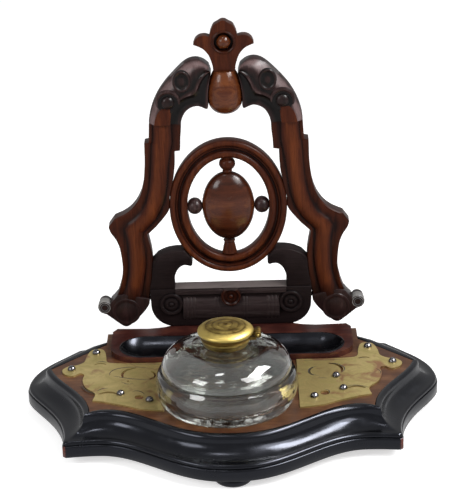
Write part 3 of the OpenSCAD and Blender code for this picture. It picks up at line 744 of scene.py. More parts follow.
    def saw(self, verts: list[bmesh.types.BMVert], at: Solid, away: Solid) -> None:
        """Saws off what lies beyond a plane, and closes the cut.

        Args:
            verts: The points of what is sawn.
            at: A point on the plane.
            away: Which way the waste lies.
        """
        ours = set(verts)
        geom = [*verts, *(e for e in self.mesh.edges if e.verts[0] in ours)]
        geom += [f for f in self.mesh.faces if f.verts[0] in ours]
        cut = bmesh.ops.bisect_plane(
            self.mesh, geom=geom, plane_co=at, plane_no=away, clear_outer=True
        )["geom_cut"]
        edges = [g for g in cut if isinstance(g, bmesh.types.BMEdge)]
        bmesh.ops.holes_fill(self.mesh, edges=edges, sides=0)

    def wear(self, rule: Callable[[Vector, float], float]) -> None:
        """Sets how worn and lit each point is painted by a rule, from its place and its value
        before.
        """
        for vert in self.mesh.verts:
            vert[self.rubbed] = rule(vert.co, vert[self.rubbed])

    def seat(self, lift: float = 0.0) -> None:
        """Moves a board that was sawn at the origin into the panel, with a lift above the block."""
        bmesh.ops.translate(self.mesh, vec=(0, PANEL_Y, BLOCK_TOP + lift), verts=self.mesh.verts)

    def become(
        self, name: str, finish: Finish, node: str = "", body: str = "base",
        side: Side = Side.RIGHT, sharp: float = 32.0,
    ) -> None:
        """Makes the workpiece an object of the scene, in metres.

        Args:
            name: The piece's name, in which a star stands for the side.
            finish: Its finish.
            node: The node that it is shown instead of, if any, with the same star.
            body: The body that it moves with.
            side: LEFT mirrors the piece to the other side.
            sharp: Edges sharper than this many degrees stay crisp.
        """
        name, node = (word.replace("*", side.name.lower()) for word in (name, node))
        bm = self.mesh
        bmesh.ops.remove_doubles(bm, verts=bm.verts, dist=0.0005)
        bmesh.ops.scale(bm, vec=(side.value * MM, MM, MM), verts=bm.verts)
        bmesh.ops.recalc_face_normals(bm, faces=bm.faces)
        open_edges = sum(1 for e in bm.edges if len(e.link_faces) != 2)
        data = bpy.data.meshes.new(name)
        bm.to_mesh(data)
        bm.free()
        data.polygons.foreach_set("use_smooth", [True] * len(data.polygons))
        data.set_sharp_from_angle(angle=math.radians(sharp))
        data.materials.append(finish.material)
        piece = bpy.data.objects.new(name, data)
        bpy.context.scene.collection.objects.link(piece)
        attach(piece, body)
        if node:
            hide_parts(node)
        log.info("%s: %d faces, %d open edges", name, len(data.polygons), open_edges)


def dress(finish: Finish, *nodes: str) -> None:
    """Gives nodes that keep their own shape a better material.

    Args:
        finish: Their finish.
        nodes: The nodes' names.
    """
    for node in nodes:
        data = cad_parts[node].data
        data.materials.clear()
        data.materials.append(finish.material)
        log.info("%s: dressed as it is", node)


@dataclass
class SerpentineBase:
    """The board, its core and the three mitred lengths of ebonised moulding on bun feet."""

    base_w: float = 280.0
    base_d: float = 196.0
    foot_show: float = 7.0
    mould_w: float = 22.0
    side_w: float = 17.0
    front_bow: float = 38.0
    cusp_x: float = 110.0
    corner_in: float = 17.5
    hollow_out: float = 24.0
    hollow_in: float = 10.5
    lobe_y: float = 24.0
    foot_d: float = 25.0
    core_z: float = 8.0
    front_foot_y: float = -82.5
    rear_foot: Flat = (78.0, 54.0)
    front_steps: int = 44
    side_steps: int = 36
    lobe_steps: int = 16
    tip_worn: float = 0.07
    tip_reach: float = 3.4

    def front_line(self, x: float, inner: bool) -> float:
        """Depth of the serpentine front.

        Args:
            x: Distance from the middle.
            inner: Whether the board's edge is meant, and not the plinth's face.

        Returns:
            The place along Y.
        """
        end = self.cusp_x - (self.corner_in if inner else 0)
        flat = end - (self.hollow_in if inner else self.hollow_out)
        swell = (1 - math.cos(math.pi * min(x / flat, 1) ** (1.25 if inner else 1.15))) / 2
        flick = (3.5 if inner else 2.0) * (max(x - flat, 0) / (end - flat)) ** 2
        start = (self.mould_w if inner else 0) - self.base_d / 2
        return start + (self.front_bow - (1 if inner else 0)) * swell - flick

    def front_half(self) -> list[tuple[Flat, Flat]]:
        """Stations from the middle of the front to a corner.

        Returns:
            At each, a point on the board's edge and one on the plinth's face.
        """
        corner_x, cusp_x = self.cusp_x - self.corner_in, self.cusp_x
        return [
            ((corner_x * s, self.front_line(corner_x * s, True)),
             (cusp_x * s, self.front_line(cusp_x * s, False)))
            for s in (*(i / self.front_steps for i in range(self.front_steps)), 0.987, 0.994, 1.0)
        ]

    def side_stations(self) -> list[tuple[Flat, Flat]]:
        """Stations from the right corner round the lobe to the back.

        Returns:
            At each, a point on the board's edge and one on the plinth's face.
        """
        corner, cusp = self.front_half()[-1]
        lobe = (self.base_w / 2, self.lobe_y)
        tip = (lobe[0] - self.side_w, lobe[1] - 1)
        back = (94.0, tip[1] + 31)
        inner = (corner, (corner[0] + 2.5, corner[1] + 28.5), (tip[0] - 6, tip[1] - 22), tip)
        outer = (cusp, (cusp[0] - 3, cusp[1] + 44), (lobe[0], lobe[1] - 20), lobe)
        shares = (0.0, 0.006, 0.013, *(i / self.side_steps for i in range(1, self.side_steps + 1)))
        stations = [(cubic(inner, t), cubic(outer, t)) for t in shares]
        bend = ((lobe[0], lobe[1] + 20), (lobe[0] - 14, lobe[1] + 37))
        for t in (i / self.lobe_steps for i in range(1, self.lobe_steps + 1)):
            round_lobe = blend(blend(lobe, bend[0], t), blend(*bend, t), t)
            stations.append((blend(tip, back, 0.55 * t), round_lobe))
        stations.append((back, (lobe[0] - 30, lobe[1] + 56)))
        stations.append(((88.0, tip[1] + 37), (88.0, lobe[1] + 63)))
        return stations

    def section(self) -> list[Solid]:
        """The moulding's section.

        Returns:
            Its points as distance out from the board, height, and how worn and lit each one is
            painted.
        """
        low, nose = self.foot_show, self.mould_w - 2.8
        points: list[Solid] = [
            (16.5, low, 0.0), (21.6, low, 0.3), (22.0, low + 0.4, 0.45), (22.0, 14.5, 0.4),
            (21.7, 14.9, 0.55), (21.0, 15.0, 0.3), (21.0, 15.7, 0.1),
        ]
        bead_rubs = (0.2, 0.4, 0.5, 0.55, 0.5, 0.4, 0.2)
        points += [(*at, rub) for at, rub in zip(arc((nose, 16.0), 2.0, 0, 84, 6), bead_rubs)]
        for a in (math.radians(90 * i / 16) for i in range(1, 17)):
            points.append((nose - (nose - 5.5) * math.sin(a), 18 + 9 * (1 - math.cos(a)), 0.05))
        for a in (math.radians(12 + 78 * i / 9) for i in range(1, 10)):
            points.append((2.3 + 3.2 * math.cos(a), 27 + 3.4 * math.sin(a), 0.3))
        return points + [(0.6, 30.4, 0.3), (0.0, 30.1, 0.2), (0.0, 12.0, 0.0), (16.5, 12.0, 0.0)]

    def from_cusp(self, x: float, y: float) -> float:
        """Distance from the nearer front corner of the plinth."""
        return math.hypot(abs(x) - self.cusp_x, y - self.front_line(self.cusp_x, False))

    def corner_wear(self, place: Vector, rub: float) -> float:
        """How worn a point is painted: the plinth's corners are worn through to the wood."""
        near = self.from_cusp(place.x, place.y)
        return max(rub, 1.5 - near / 3.5 if place.z < 17 else 0.9 - near / 5)

    def moulding(self, name: str, stations: list[tuple[Flat, Flat]], side: Side) -> None:
        """Runs one length of moulding.

        Args:
            name: Name of the node that it stands for, with a star for the side.
            stations: Pairs of a point on the board's edge and one on the plinth's face.
            side: Where it goes.
        """
        rings = []
        for inner, outer in stations:
            near = self.from_cusp(*outer)
            reach = 1 - self.tip_worn * max(0.0, 1 - near / self.tip_reach) ** 2
            rings.append([
                (*blend(inner, outer, reach * out / self.mould_w), height, rub)
                for out, height, rub in self.section()
            ])
        work = Workpiece()
        work.sweep(rings)
        work.wear(self.corner_wear)
        work.become(f"{name}_run", EBONY, name, side=side, sharp=50)

    def foot(self, name: str, node: str, *spots: Flat) -> None:
        """Turns bun feet.

        Args:
            name: The piece's name.
            node: The node that they stand for.
            spots: Where the feet stand.
        """
        r, top = self.foot_d / 2, self.core_z
        profile = [(0.0, 0.0), (r - 4.5, 0.0), *arc((r - 3.2, 3.4), 3.2, -78, 84, 14)]
        profile += [(r - 3.4, 7.2), (r - 3.4, top), (5, top), (5, 11.4), (0, 11.4)]
        work = Workpiece()
        for x, y in spots:
            work.turn(profile, (x, y, 0), steps=56)
        work.become(name, EBONY, node)

    def build(self) -> None:
        """Makes the mouldings and feet, and dresses the board and its core."""
        half = self.front_half()
        left = [((-a[0], a[1]), (-b[0], b[1])) for a, b in reversed(half[1:])]
        self.moulding("front_moulding", left + half, Side.RIGHT)
        for side in (Side.RIGHT, Side.LEFT):
            self.moulding("*_moulding", self.side_stations(), side)
        self.foot("front_bun_foot", "front_foot", (0.0, self.front_foot_y))
        x, y = self.rear_foot
        self.foot("rear_bun_feet", "rear_feet", (x, y), (-x, y))
        dress(PLAIN_WALNUT, "base_core")
        dress(BOARD_WALNUT, "top_board")
        dress(BLOCK_WALNUT, "tray_block")
        dress(STEEL, "rail_screws")


@dataclass
class PenTrough:
    """The black scooped tray for pens, with a rounded rim."""

    length: float = 156.0
    width: float = 34.0
    rim: float = 1.5
    scoop_r: float = 20.0
    y: float = 47.0
    top: float = 34.4

    def ring(self, inset: float, height: float) -> list[Solid]:
        """One level of the trough, a long shape with round ends.

        Args:
            inset: Distance in from the trough's edge.
            height: Height above the table.

        Returns:
            The level's points.
        """
        reach = (self.length - self.width) / 2
        r = max(self.width / 2 - inset, 0.02)
        ends = (((reach, self.y), -90), ((-reach, self.y), 90))
        return [(*at, height) for mid, start in ends for at in arc(mid, r, start, start + 180, 28)]

    def build(self) -> None:
        """Carves the trough."""
        half, top = self.width / 2 - self.rim, self.top
        centre = top + math.sqrt(self.scoop_r**2 - half**2)
        base = centre - self.scoop_r - 2.0
        rings = [
            (0.3, base), (0, base + 0.4), (0, top - 0.5), (0.2, top - 0.12), (0.6, top + 0.02),
            (1.05, top - 0.1),
        ]
        for i in range(21):
            reach = half * math.cos(math.radians(90 * i / 20))
            rings.append((self.width / 2 - reach, centre - math.sqrt(self.scoop_r**2 - reach**2)))
        work = Workpiece()
        work.sweep([self.ring(*ring) for ring in rings], 0.1)
        work.become("scooped_trough", EBONY, "pen_trough")


@dataclass
class EngravedPlates:
    """The two brass plates, the lines cut in them and the steel studs that hold them."""

    thick: float = 1.0
    stud_d: float = 5.6
    stud_h: float = 2.8
    stud_l: float = 6.0
    stud_sites: tuple[Flat, ...] = ((93.9, 45.0), (109.0, 20.0), (73.5, -19.0), (54.0, -29.5))
    extra: Flat = (69.7, 0.0)
    line_deep: float = 0.3

    def line(self, work: Workpiece, points: Sequence[Flat], width: float) -> None:
        """Cuts one engraved line, full in the middle and fine at its ends.

        Args:
            work: The workpiece that holds the lines.
            points: Where the line runs.
            width: Its width at the middle.
        """
        top = BOARD_TOP + self.thick + 0.02
        path = [Vector((x, y)) for x, y in through(points, 5)]
        rings = []
        for i, spot in enumerate(path):
            ahead = path[min(i + 1, len(path) - 1)] - path[max(i - 1, 0)]
            side = Vector((-ahead.y, ahead.x)).normalized()
            swell = math.sin(math.pi * (i + 0.6) / (len(path) + 0.2))
            edge = side * width / 2 * max(swell, 0.15)
            left, right, low = spot + edge, spot - edge, top - self.line_deep
            rings.append([(*left, top), (*right, top), (*right, low), (*left, low)])
        work.sweep(rings)

    def lines(self) -> dict[Side, tuple]:
        """The engraved lines of each plate.

        Returns:
            For each side its lines, each as a width and the points that it runs through.
        """
        return {
            Side.RIGHT: (
                (0.9, (66, 20.4), (71.5, 18.6), (75.4, 13.5), (75.6, 9), (72.8, 4.2)),
                (0.9, (58.5, 15.9), (53.6, 13.6), (51.6, 9.4), (52.6, 4.2), (58.8, 0.6)),
                (0.6, (57.2, -2.6), (60, -2.3), (63.5, -3)),
                (0.8, (74.2, -17.2), (78, -14.9), (82, -14.5), (86.5, -15.8), (90.4, -18.6)),
                (0.6, (86.5, 26), (88.5, 27.4), (91.8, 26.4)),
                (0.5, (97, 10), (99.5, 6), (99.6, 1)),
                (0.7, (61, -19.4), (63.8, -21.6), (64, -25.4)),
                (0.5, (47, 24.8), (55, 25.4), (66, 25), (80, 25.8)),
            ),
            Side.LEFT: (
                (0.9, (82.6, 9.4), (82.4, 14), (79.4, 18.6), (73, 21), (64, 21.2), (53, 18.4)),
                (0.8, (81, 9), (76, 6.6), (68, 3.6), (60, 2), (53, 1)),
                (0.9, (86, 30), (89, 31.4), (93, 30.4)),
                (0.7, (101, -3.4), (99, -8.6), (95.5, -13.4), (89.6, -18.6)),
                (0.9, (89.5, -14), (86.4, -10.6), (82.4, -9.8)),
                (0.9, (66, -15.6), (63, -15), (60, -16.6), (57.4, -20.7)),
                (0.6, (74, -1), (70, -4.4), (66, -3.8)),
                (0.5, (47.5, 24.8), (58, 25.6), (72, 26)),
            ),
        }

    def build(self) -> None:
        """Dresses the plates, cuts their lines and drives the studs."""
        dress(BRASS_SHEET, "brass_plate_left", "brass_plate_right")
        for side, lines in self.lines().items():
            work = Workpiece()
            for width, *points in lines:
                self.line(work, points, width)
            work.become("cut_lines_*", CUT, side=side)
        r, h, tip = self.stud_d / 2, self.stud_h, -self.stud_l
        stud = [(0, tip), (0.5, tip + 0.2), (0.9, tip + 1.4), (0.9, 0), (r - 0.1, 0), (r, 0.25)]
        stud += through([(r - 0.05, 0.7), (r * 0.87, h * 0.55), (r * 0.52, h * 0.88), (0, h)], 4)
        for side, more in ((Side.RIGHT, (self.extra,)), (Side.LEFT, ())):
            work = Workpiece()
            for x, y in self.stud_sites + more:
                work.turn(stud, (x, y, BOARD_TOP + self.thick), steps=32)
            work.become("studs_*_domed", STEEL, "studs_*", side=side)


@dataclass
class Inkwell:
    """The squat glass with its brass collar, hinge and stepped lid, all turned about one axis."""

    glass_d: float = 93.0
    glass_h: float = 40.0
    shoulder: float = 22.5
    neck_h: float = 7.9
    neck_r: float = 13.2
    bore_r: float = 10.5
    floor: float = 5.0
    wall: float = 5.0
    well_z: float = 29.0
    lid_z: float = 77.2
    lid_d: float = 36.5
    lid_rim: float = 2.2
    lid_rise: float = 3.8
    hinge: Flat = (21.0, 76.8)
    pin_r: float = 0.8
    pin_hole: float = 0.84
    knuckle_r: float = 2.1
    barrel: float = 10.0

    def glass_profile(self) -> list[Flat]:
        """The glass in section.

        Returns:
            Its points as radius and height, up the outside, over the lip and down the inside.
        """
        r, foot, low = self.glass_d / 2, self.glass_d / 2 - 4.5, self.shoulder
        neck, bore, top = self.neck_r, self.bore_r, self.glass_h
        outer: list[Flat] = [(0, 0.6), (foot - 8, 0.6), (foot - 6, 0.0), (foot - 1.5, 0.0)]
        outer += through([
            (foot + 0.4, 0.8), (foot + 2.6, 4), (r - 0.4, 9.5), (r, 15), (r - 0.9, 19.5),
            (r - 2.4, 22.2),
        ], 5)
        outer += [
            (r - 2.8, low + 0.5), (r - 3.4, low - 0.5), (r - 3.9, low - 0.6), (r - 4.2, low + 0.4),
        ]
        for x, z in (swollen(4 * i, 0.84) for i in range(1, 22)):
            outer.append((neck + 1 + (r - 4.9 - neck) * x, low + (top - low) * z))
        outer += [(neck + 0.3, top + 0.1), (neck, top + 0.6), (neck, top + self.neck_h)]
        dome, hollow, wide = low - 2.6, top - self.wall, r - self.wall - 1.2 - bore
        inner: list[Flat] = [(bore, top + self.neck_h), (bore, hollow + 1.2)]
        for x, z in (swollen(4 * i, 0.88) for i in range(20, 3, -1)):
            inner.append((bore + wide * x, dome + (hollow - dome) * z))
        r, foot, low = r - self.wall, foot - self.wall, self.floor
        inner += through([
            (r - 1.3, dome - 0.6), (r - 1.4, 14), (foot + 2.6, low + 5), (foot + 0.6, low + 1.4),
            (foot - 3, low + 0.1),
        ], 5)
        # The plunger has left shallow rings on the floor
        ring = foot - 4
        while 4 < ring:
            inner += [(ring, low + 0.1), (ring - 1.2, low + 0.55), (ring - 2.4, low + 0.1)]
            ring -= 4.0
        return outer + inner + [(0, low + 0.3)]

    def build_glass(self) -> None:
        """Presses the glass."""
        work = Workpiece()
        work.turn(self.glass_profile(), (*WELL, self.well_z), steps=128)
        work.become("pressed_well", GLASS, "glass_well", "inkwell", sharp=55)

    def knuckle(
        self, work: Workpiece, start: float, end: float, reach: float, low: float, high: float
    ) -> None:
        """Makes one knuckle of the hinge with the leaf that carries it.

        Args:
            work: The piece that the knuckle is part of.
            start: Where the knuckle begins along the pin.
            end: Where it ends.
            reach: Distance from the axis at which its leaf starts.
            low: Underside of the leaf.
            high: Top of the leaf.
        """
        x, z = WELL[0] + self.hinge[0], self.hinge[1]
        r, hole, length = self.knuckle_r, self.pin_hole, end - start
        ring = [
            (hole, 0), (r - 0.2, 0), (r, 0.2), (r, length - 0.2), (r - 0.2, length), (hole, length),
        ]
        work.turn(ring, (x, WELL[1] + end, z), Axis.WRITER, 24, -0.1, closed=True)
        near, far = WELL[0] + reach, x - 1.0
        leaf = ((near, low), (far, low), (far, high), (near, high))
        work.sweep([[(px, WELL[1] + y, pz) for px, pz in leaf] for y in (start, end)], -0.1)

    def build_collar(self) -> None:
        """Turns the collar on the neck."""
        n, low = self.neck_r, self.well_z + self.glass_h + 0.3
        top = self.well_z + self.glass_h + self.neck_h
        profile = [(n + out, low + up, rub) for out, up, rub in (
            (0.05, 0, -0.2), (1.0, 0, -0.2), (1.3, 0.3, 0.0), (1.35, 0.8, 0.05), (1.9, 1.6, 0.0),
            (2.2, 2.2, 0.1), (2.1, 2.5, -0.25), (2.5, 2.8, -0.2), (3.0, 3.6, 0.05), (3.1, 4.3, 0.1),
            (3.0, 4.9, 0.0), (2.6, 5.2, -0.3), (2.4, 5.4, -0.3),
        )]
        profile += [(n + 2.5, top - 0.3, -0.2), (n + 2.2, top, -0.1), (n + 0.05, top, -0.2)]
        work = Workpiece()
        work.turn(profile, (*WELL, 0), steps=96, closed=True)
        for start, end in ((1.75, self.barrel / 2), (-self.barrel / 2, -1.75)):
            self.knuckle(work, start, end, n + 1.4, top - 3.4, top - 1.4)
        work.become("turned_collar", TURNED_BRASS, "neck_collar", "inkwell")

    def build_pin(self) -> None:
        """Turns the hinge pin."""
        end, r = self.barrel / 2 + 0.4, self.pin_r
        profile = [
            (0, -end), (r - 0.2, -end), (r, 0.2 - end), (r, end - 0.2), (r - 0.2, end), (0, end),
        ]
        work = Workpiece()
        work.turn(profile, (WELL[0] + self.hinge[0], WELL[1], self.hinge[1]), Axis.WRITER, 24)
        work.become("turned_pin", TURNED_BRASS, "hinge_pin", "inkwell")

    def build_lid(self) -> None:
        """Turns the lid: a rolled rim, then rings that step up to the middle."""
        r, rim, top = self.lid_d / 2, self.lid_rim, self.lid_rim + self.lid_rise
        profile = [(0, 0.8, 0.1), (9.6, 0.8, 0.1), (10.0, 0.7, 0.1), (10.0, 0.0, 0.1)]
        profile += [(r - inset, up, rub) for inset, up, rub in (
            (1.2, 0.0, 0.2), (0.5, 0.25, 0.3), (0.1, 0.8, 0.5), (0, 1.4, 0.6), (0.1, 2.0, 0.6),
        )]
        profile += [(r - inset, rim + up, rub) for inset, up, rub in (
            (0.5, 0.35, 0.6), (1.1, 0.9, 0.6), (2.0, 1.45, 0.5), (3.4, 2.05, 0.4), (4.6, 2.4, 0.3),
            (5.1, 2.48, 0.1), (5.5, 2.46, 0.0), (5.9, 2.62, 0.1), (6.6, 2.8, 0.2), (7.6, 3.0, 0.25),
            (8.9, 3.14, 0.2), (9.3, 3.1, 0.05), (9.7, 3.12, 0.0), (10.1, 3.24, 0.1),
            (11.4, 3.4, 0.2), (13.0, 3.5, 0.2), (13.4, 3.46, 0.05), (13.8, 3.48, 0.05),
            (14.2, 3.6, 0.15),
        )]
        profile += [
            (r - 16.2, top - 0.02, 0.2), (1.3, top, 0.1), (0.8, top - 0.2, -0.3),
            (0, top - 0.25, -0.4),
        ]
        work = Workpiece()
        work.turn(profile, (*WELL, self.lid_z), steps=96)
        self.knuckle(work, -1.6, 1.6, r - 2, self.lid_z + 0.2, self.lid_z + 1.6)
        work.become("stepped_lid", TURNED_BRASS, "lid", "lid", sharp=60)

    def build(self) -> None:
        """Makes the well, its collar, the pin and the lid."""
        self.build_glass()
        self.build_collar()
        self.build_pin()
        self.build_lid()


def twin_ornaments(
    name: str, finish: Finish, node: str, profile: Sequence[Solid], at: Flat, front: float
) -> None:
    """Turns two alike ornaments, one on each side of the panel.

    Args:
        name: The piece's name.
        finish: Its finish.
        node: The node that it stands for.
        profile: Points as radius, height above the seat, and how worn and lit they are painted.
        at: Centre of the right one, across and up.
        front: Depth of their seats.
    """
    work = Workpiece()
    for side in (Side.RIGHT, Side.LEFT):
        work.ornament(profile, (side.value * at[0], at[1]), front)
    work.become(name, finish, node)


@dataclass
class Leg:
    """A leg of the panel: a rounded ridge between two sunk edges, ending in a scrolled foot."""

    thick: float = 13.0
    eye: Flat = (89.4, 15.4)
    eye_r: float = 4.9
    boss: Flat = (74.2, 12.2)
    sunk: float = -4.7

    def stations(self) -> list[tuple[float, ...]]:
        """Stations from the top joint to the foot's scroll.

        Returns:
            At each, the outer edge, the ridge's two edges and the inner edge, as x and z in turn.
        """
        top = [
            (52.4, 150, 48.8, 150, 37.6, 150, 30.6, 150),
            (52.8, 143, 49.2, 143, 37.4, 143, 30.9, 144),
            (53.2, 136.9, 49.8, 137, 37.4, 137, 31.4, 139),
        ]
        notch = [
            (56.2, 136.4, 50.4, 136.2, 37.6, 136, 31.6, 138),
            (56.3, 131.8, 50.8, 131.8, 38.4, 131.4, 31.9, 130.6),
        ]
        body = [
            (56.3, 131.2, 50.9, 131.2, 38.6, 130.8, 35.8, 130.2),
            (56.6, 120.5, 51.6, 120.5, 40.6, 119, 36.3, 117),
            (58.3, 106.5, 53, 106, 42.4, 104, 38.2, 106),
            (61.4, 97, 55.6, 95.5, 44.6, 94, 40.6, 95),
            (66.4, 89.6, 59.6, 87, 47.6, 86.5, 41, 88),
            (72.3, 85, 64.4, 81.6, 51.2, 80.4, 44.6, 82.2),
            (79.4, 81.8, 69.2, 77.8, 55.4, 75.8, 50.4, 75.4),
        ]
        knee = [
            (83.6, 76, 71.6, 74, 59.4, 71.8, 56.3, 69.8),
            (83.6, 75.2, 71.6, 73.2, 59.8, 71, 56.8, 69),
            (82.4, 71.4, 71, 69.6, 60.2, 67.4, 56.3, 66),
            (79, 66, 70.2, 64.4, 59.8, 62.6, 55.4, 61.4),
            (76.6, 59, 69.8, 58, 59.2, 56.6, 54.5, 55.6),
            (75.4, 48, 69.8, 48, 59, 48, 54.1, 49),
            (75.6, 41, 70.4, 41.4, 59.8, 41.4, 54.6, 42),
            (76.4, 36.5, 71.4, 36, 61, 35, 55.4, 35),
            (77.7, 31, 73, 29.6, 62.4, 27.4, 56.2, 29),
            (79.6, 25.6, 75.6, 23.6, 64, 20.4, 57.2, 22.4),
            (81, 22.4, 76.6, 19, 65, 15.6, 57.6, 18.6),
        ]
        return [station for run in (top, notch, body, knee) for station in through(run, 4)]

    def section(self, station: tuple[float, ...]) -> Points:
        """The leg's section at one station.

        Args:
            station: The station's four places.

        Returns:
            The section's points, with how worn and lit each one is painted.
        """
        o, a, b, i = (station[k : k + 2] for k in (0, 2, 4, 6))
        back, edge, top = self.thick / 2, self.sunk, -self.thick / 2
        # The ridge's crest is painted lightest and its sides and the sunk edges darker: a painted
        # highlight and painted shade across the leg.
        parts = (
            (o, o, 0.0, back - 0.6, 0.3), (o, a, 0.06, back, 0.3), (b, i, 0.94, back, 0.3),
            (i, i, 0.0, back - 0.6, 0.3), (i, i, 0.0, edge + 0.6, 0.35), (i, b, 0.1, edge, 0.35),
            (i, b, 0.5, edge + 0.25, 0.3), (i, b, 0.88, edge + 0.5, 0.1), (b, a, -0.04, edge, 0.0),
            (b, a, 0.05, top + 1.1, 0.35), (b, a, 0.2, top + 0.5, 0.55),
            (b, a, 0.4, top + 0.08, 0.65), (b, a, 0.62, top + 0.05, 0.65),
            (b, a, 0.84, top + 0.4, 0.55), (b, a, 1.0, top + 1.0, 0.3), (b, a, 1.08, edge, 0.05),
            (a, o, 0.26, edge + 0.5, 0.2), (a, o, 0.55, edge + 0.2, 0.4), (a, o, 0.9, edge, 0.45),
            (o, o, 0.0, edge + 0.6, 0.35),
        )
        spots = ((blend(start, end, share), depth, rub) for start, end, share, depth, rub in parts)
        return [on_panel(x, depth, z, rub) for (x, z), depth, rub in spots]

    def build(self, side: Side) -> None:
        """Carves one leg, darker towards its foot, saws the scrolled foot and turns its knob.

        Args:
            side: Which leg it is.
        """
        work = Workpiece()
        work.sweep([self.section(s) for s in self.stations()])
        work.wear(lambda at, rub: rub * min(1.0, max(0.3, (at.z - BLOCK_TOP - 18) / 14)))
        work.become("*_leg_carved", RED_WALNUT, "*_leg", side=side, sharp=38)
        outline: list[Flat] = [(80.2, 24.6), (82.6, 21.6), (85.2, 19.0)]
        outline += arc(self.eye, self.eye_r - 0.4, 150, -70, 14)
        outline += through([
            (88.2, 10.2), (83.4, 6.2), (79.2, 2.8), (75.6, 0.6), (71.6, 1.8), (64.4, 8.6),
            (59.8, 14), (57.7, 17.6),
        ], 3)
        outline += [(57.2, 21.4), (62.6, 22.4), (69, 24.2), (75, 25.2)]
        work = Workpiece()
        work.fret(outline, -self.thick / 2 + 0.3, self.thick / 2 - 0.2, rub=0.34)
        work.soften(1.8, 4, 40)
        work.seat()
        work.become("*_foot_sawn", DARK_WALNUT, side=side, sharp=38)
        r = self.eye_r
        knob = [
            (0, -2.6, 1), (r - 1.5, -2.6, 1), (r - 0.2, -1.6, 1), (r, 0.6, 1), (r, 4.6, 1),
            (r - 0.4, 5.8, 1), (r - 1.1, 6.3, 1), (r - 1.9, 6.1, 0.6), (2.4, 6.3, 0.2),
            (1.7, 6.0, 0), (1.2, 5.2, 0), (0, 5.1, 0),
        ]
        work = Workpiece()
        work.ornament(knob, self.eye, 0.0)
        work.become("*_knob_turned", DULLED_EBONY, side=side, sharp=38)

    def build_bosses(self) -> None:
        """Turns the round bosses that fill the two feet."""
        profile = [
            (0, 0, 0.1), (10.2, 0, 0.3), (10.2, 2.6, 0.3), (9.7, 3.3, 0.35), (8.9, 3.5, 0.4),
            (8.1, 3.3, 0.35), (7.5, 3.2, 0.25), (6.6, 3.3, 0.3), (4.8, 3.6, 0.35), (2.4, 3.9, 0.4),
            (0, 4.0, 0.4),
        ]
        twin_ornaments("foot_bosses_turned", DARK_WALNUT, "foot_bosses", profile, self.boss, -3.2)


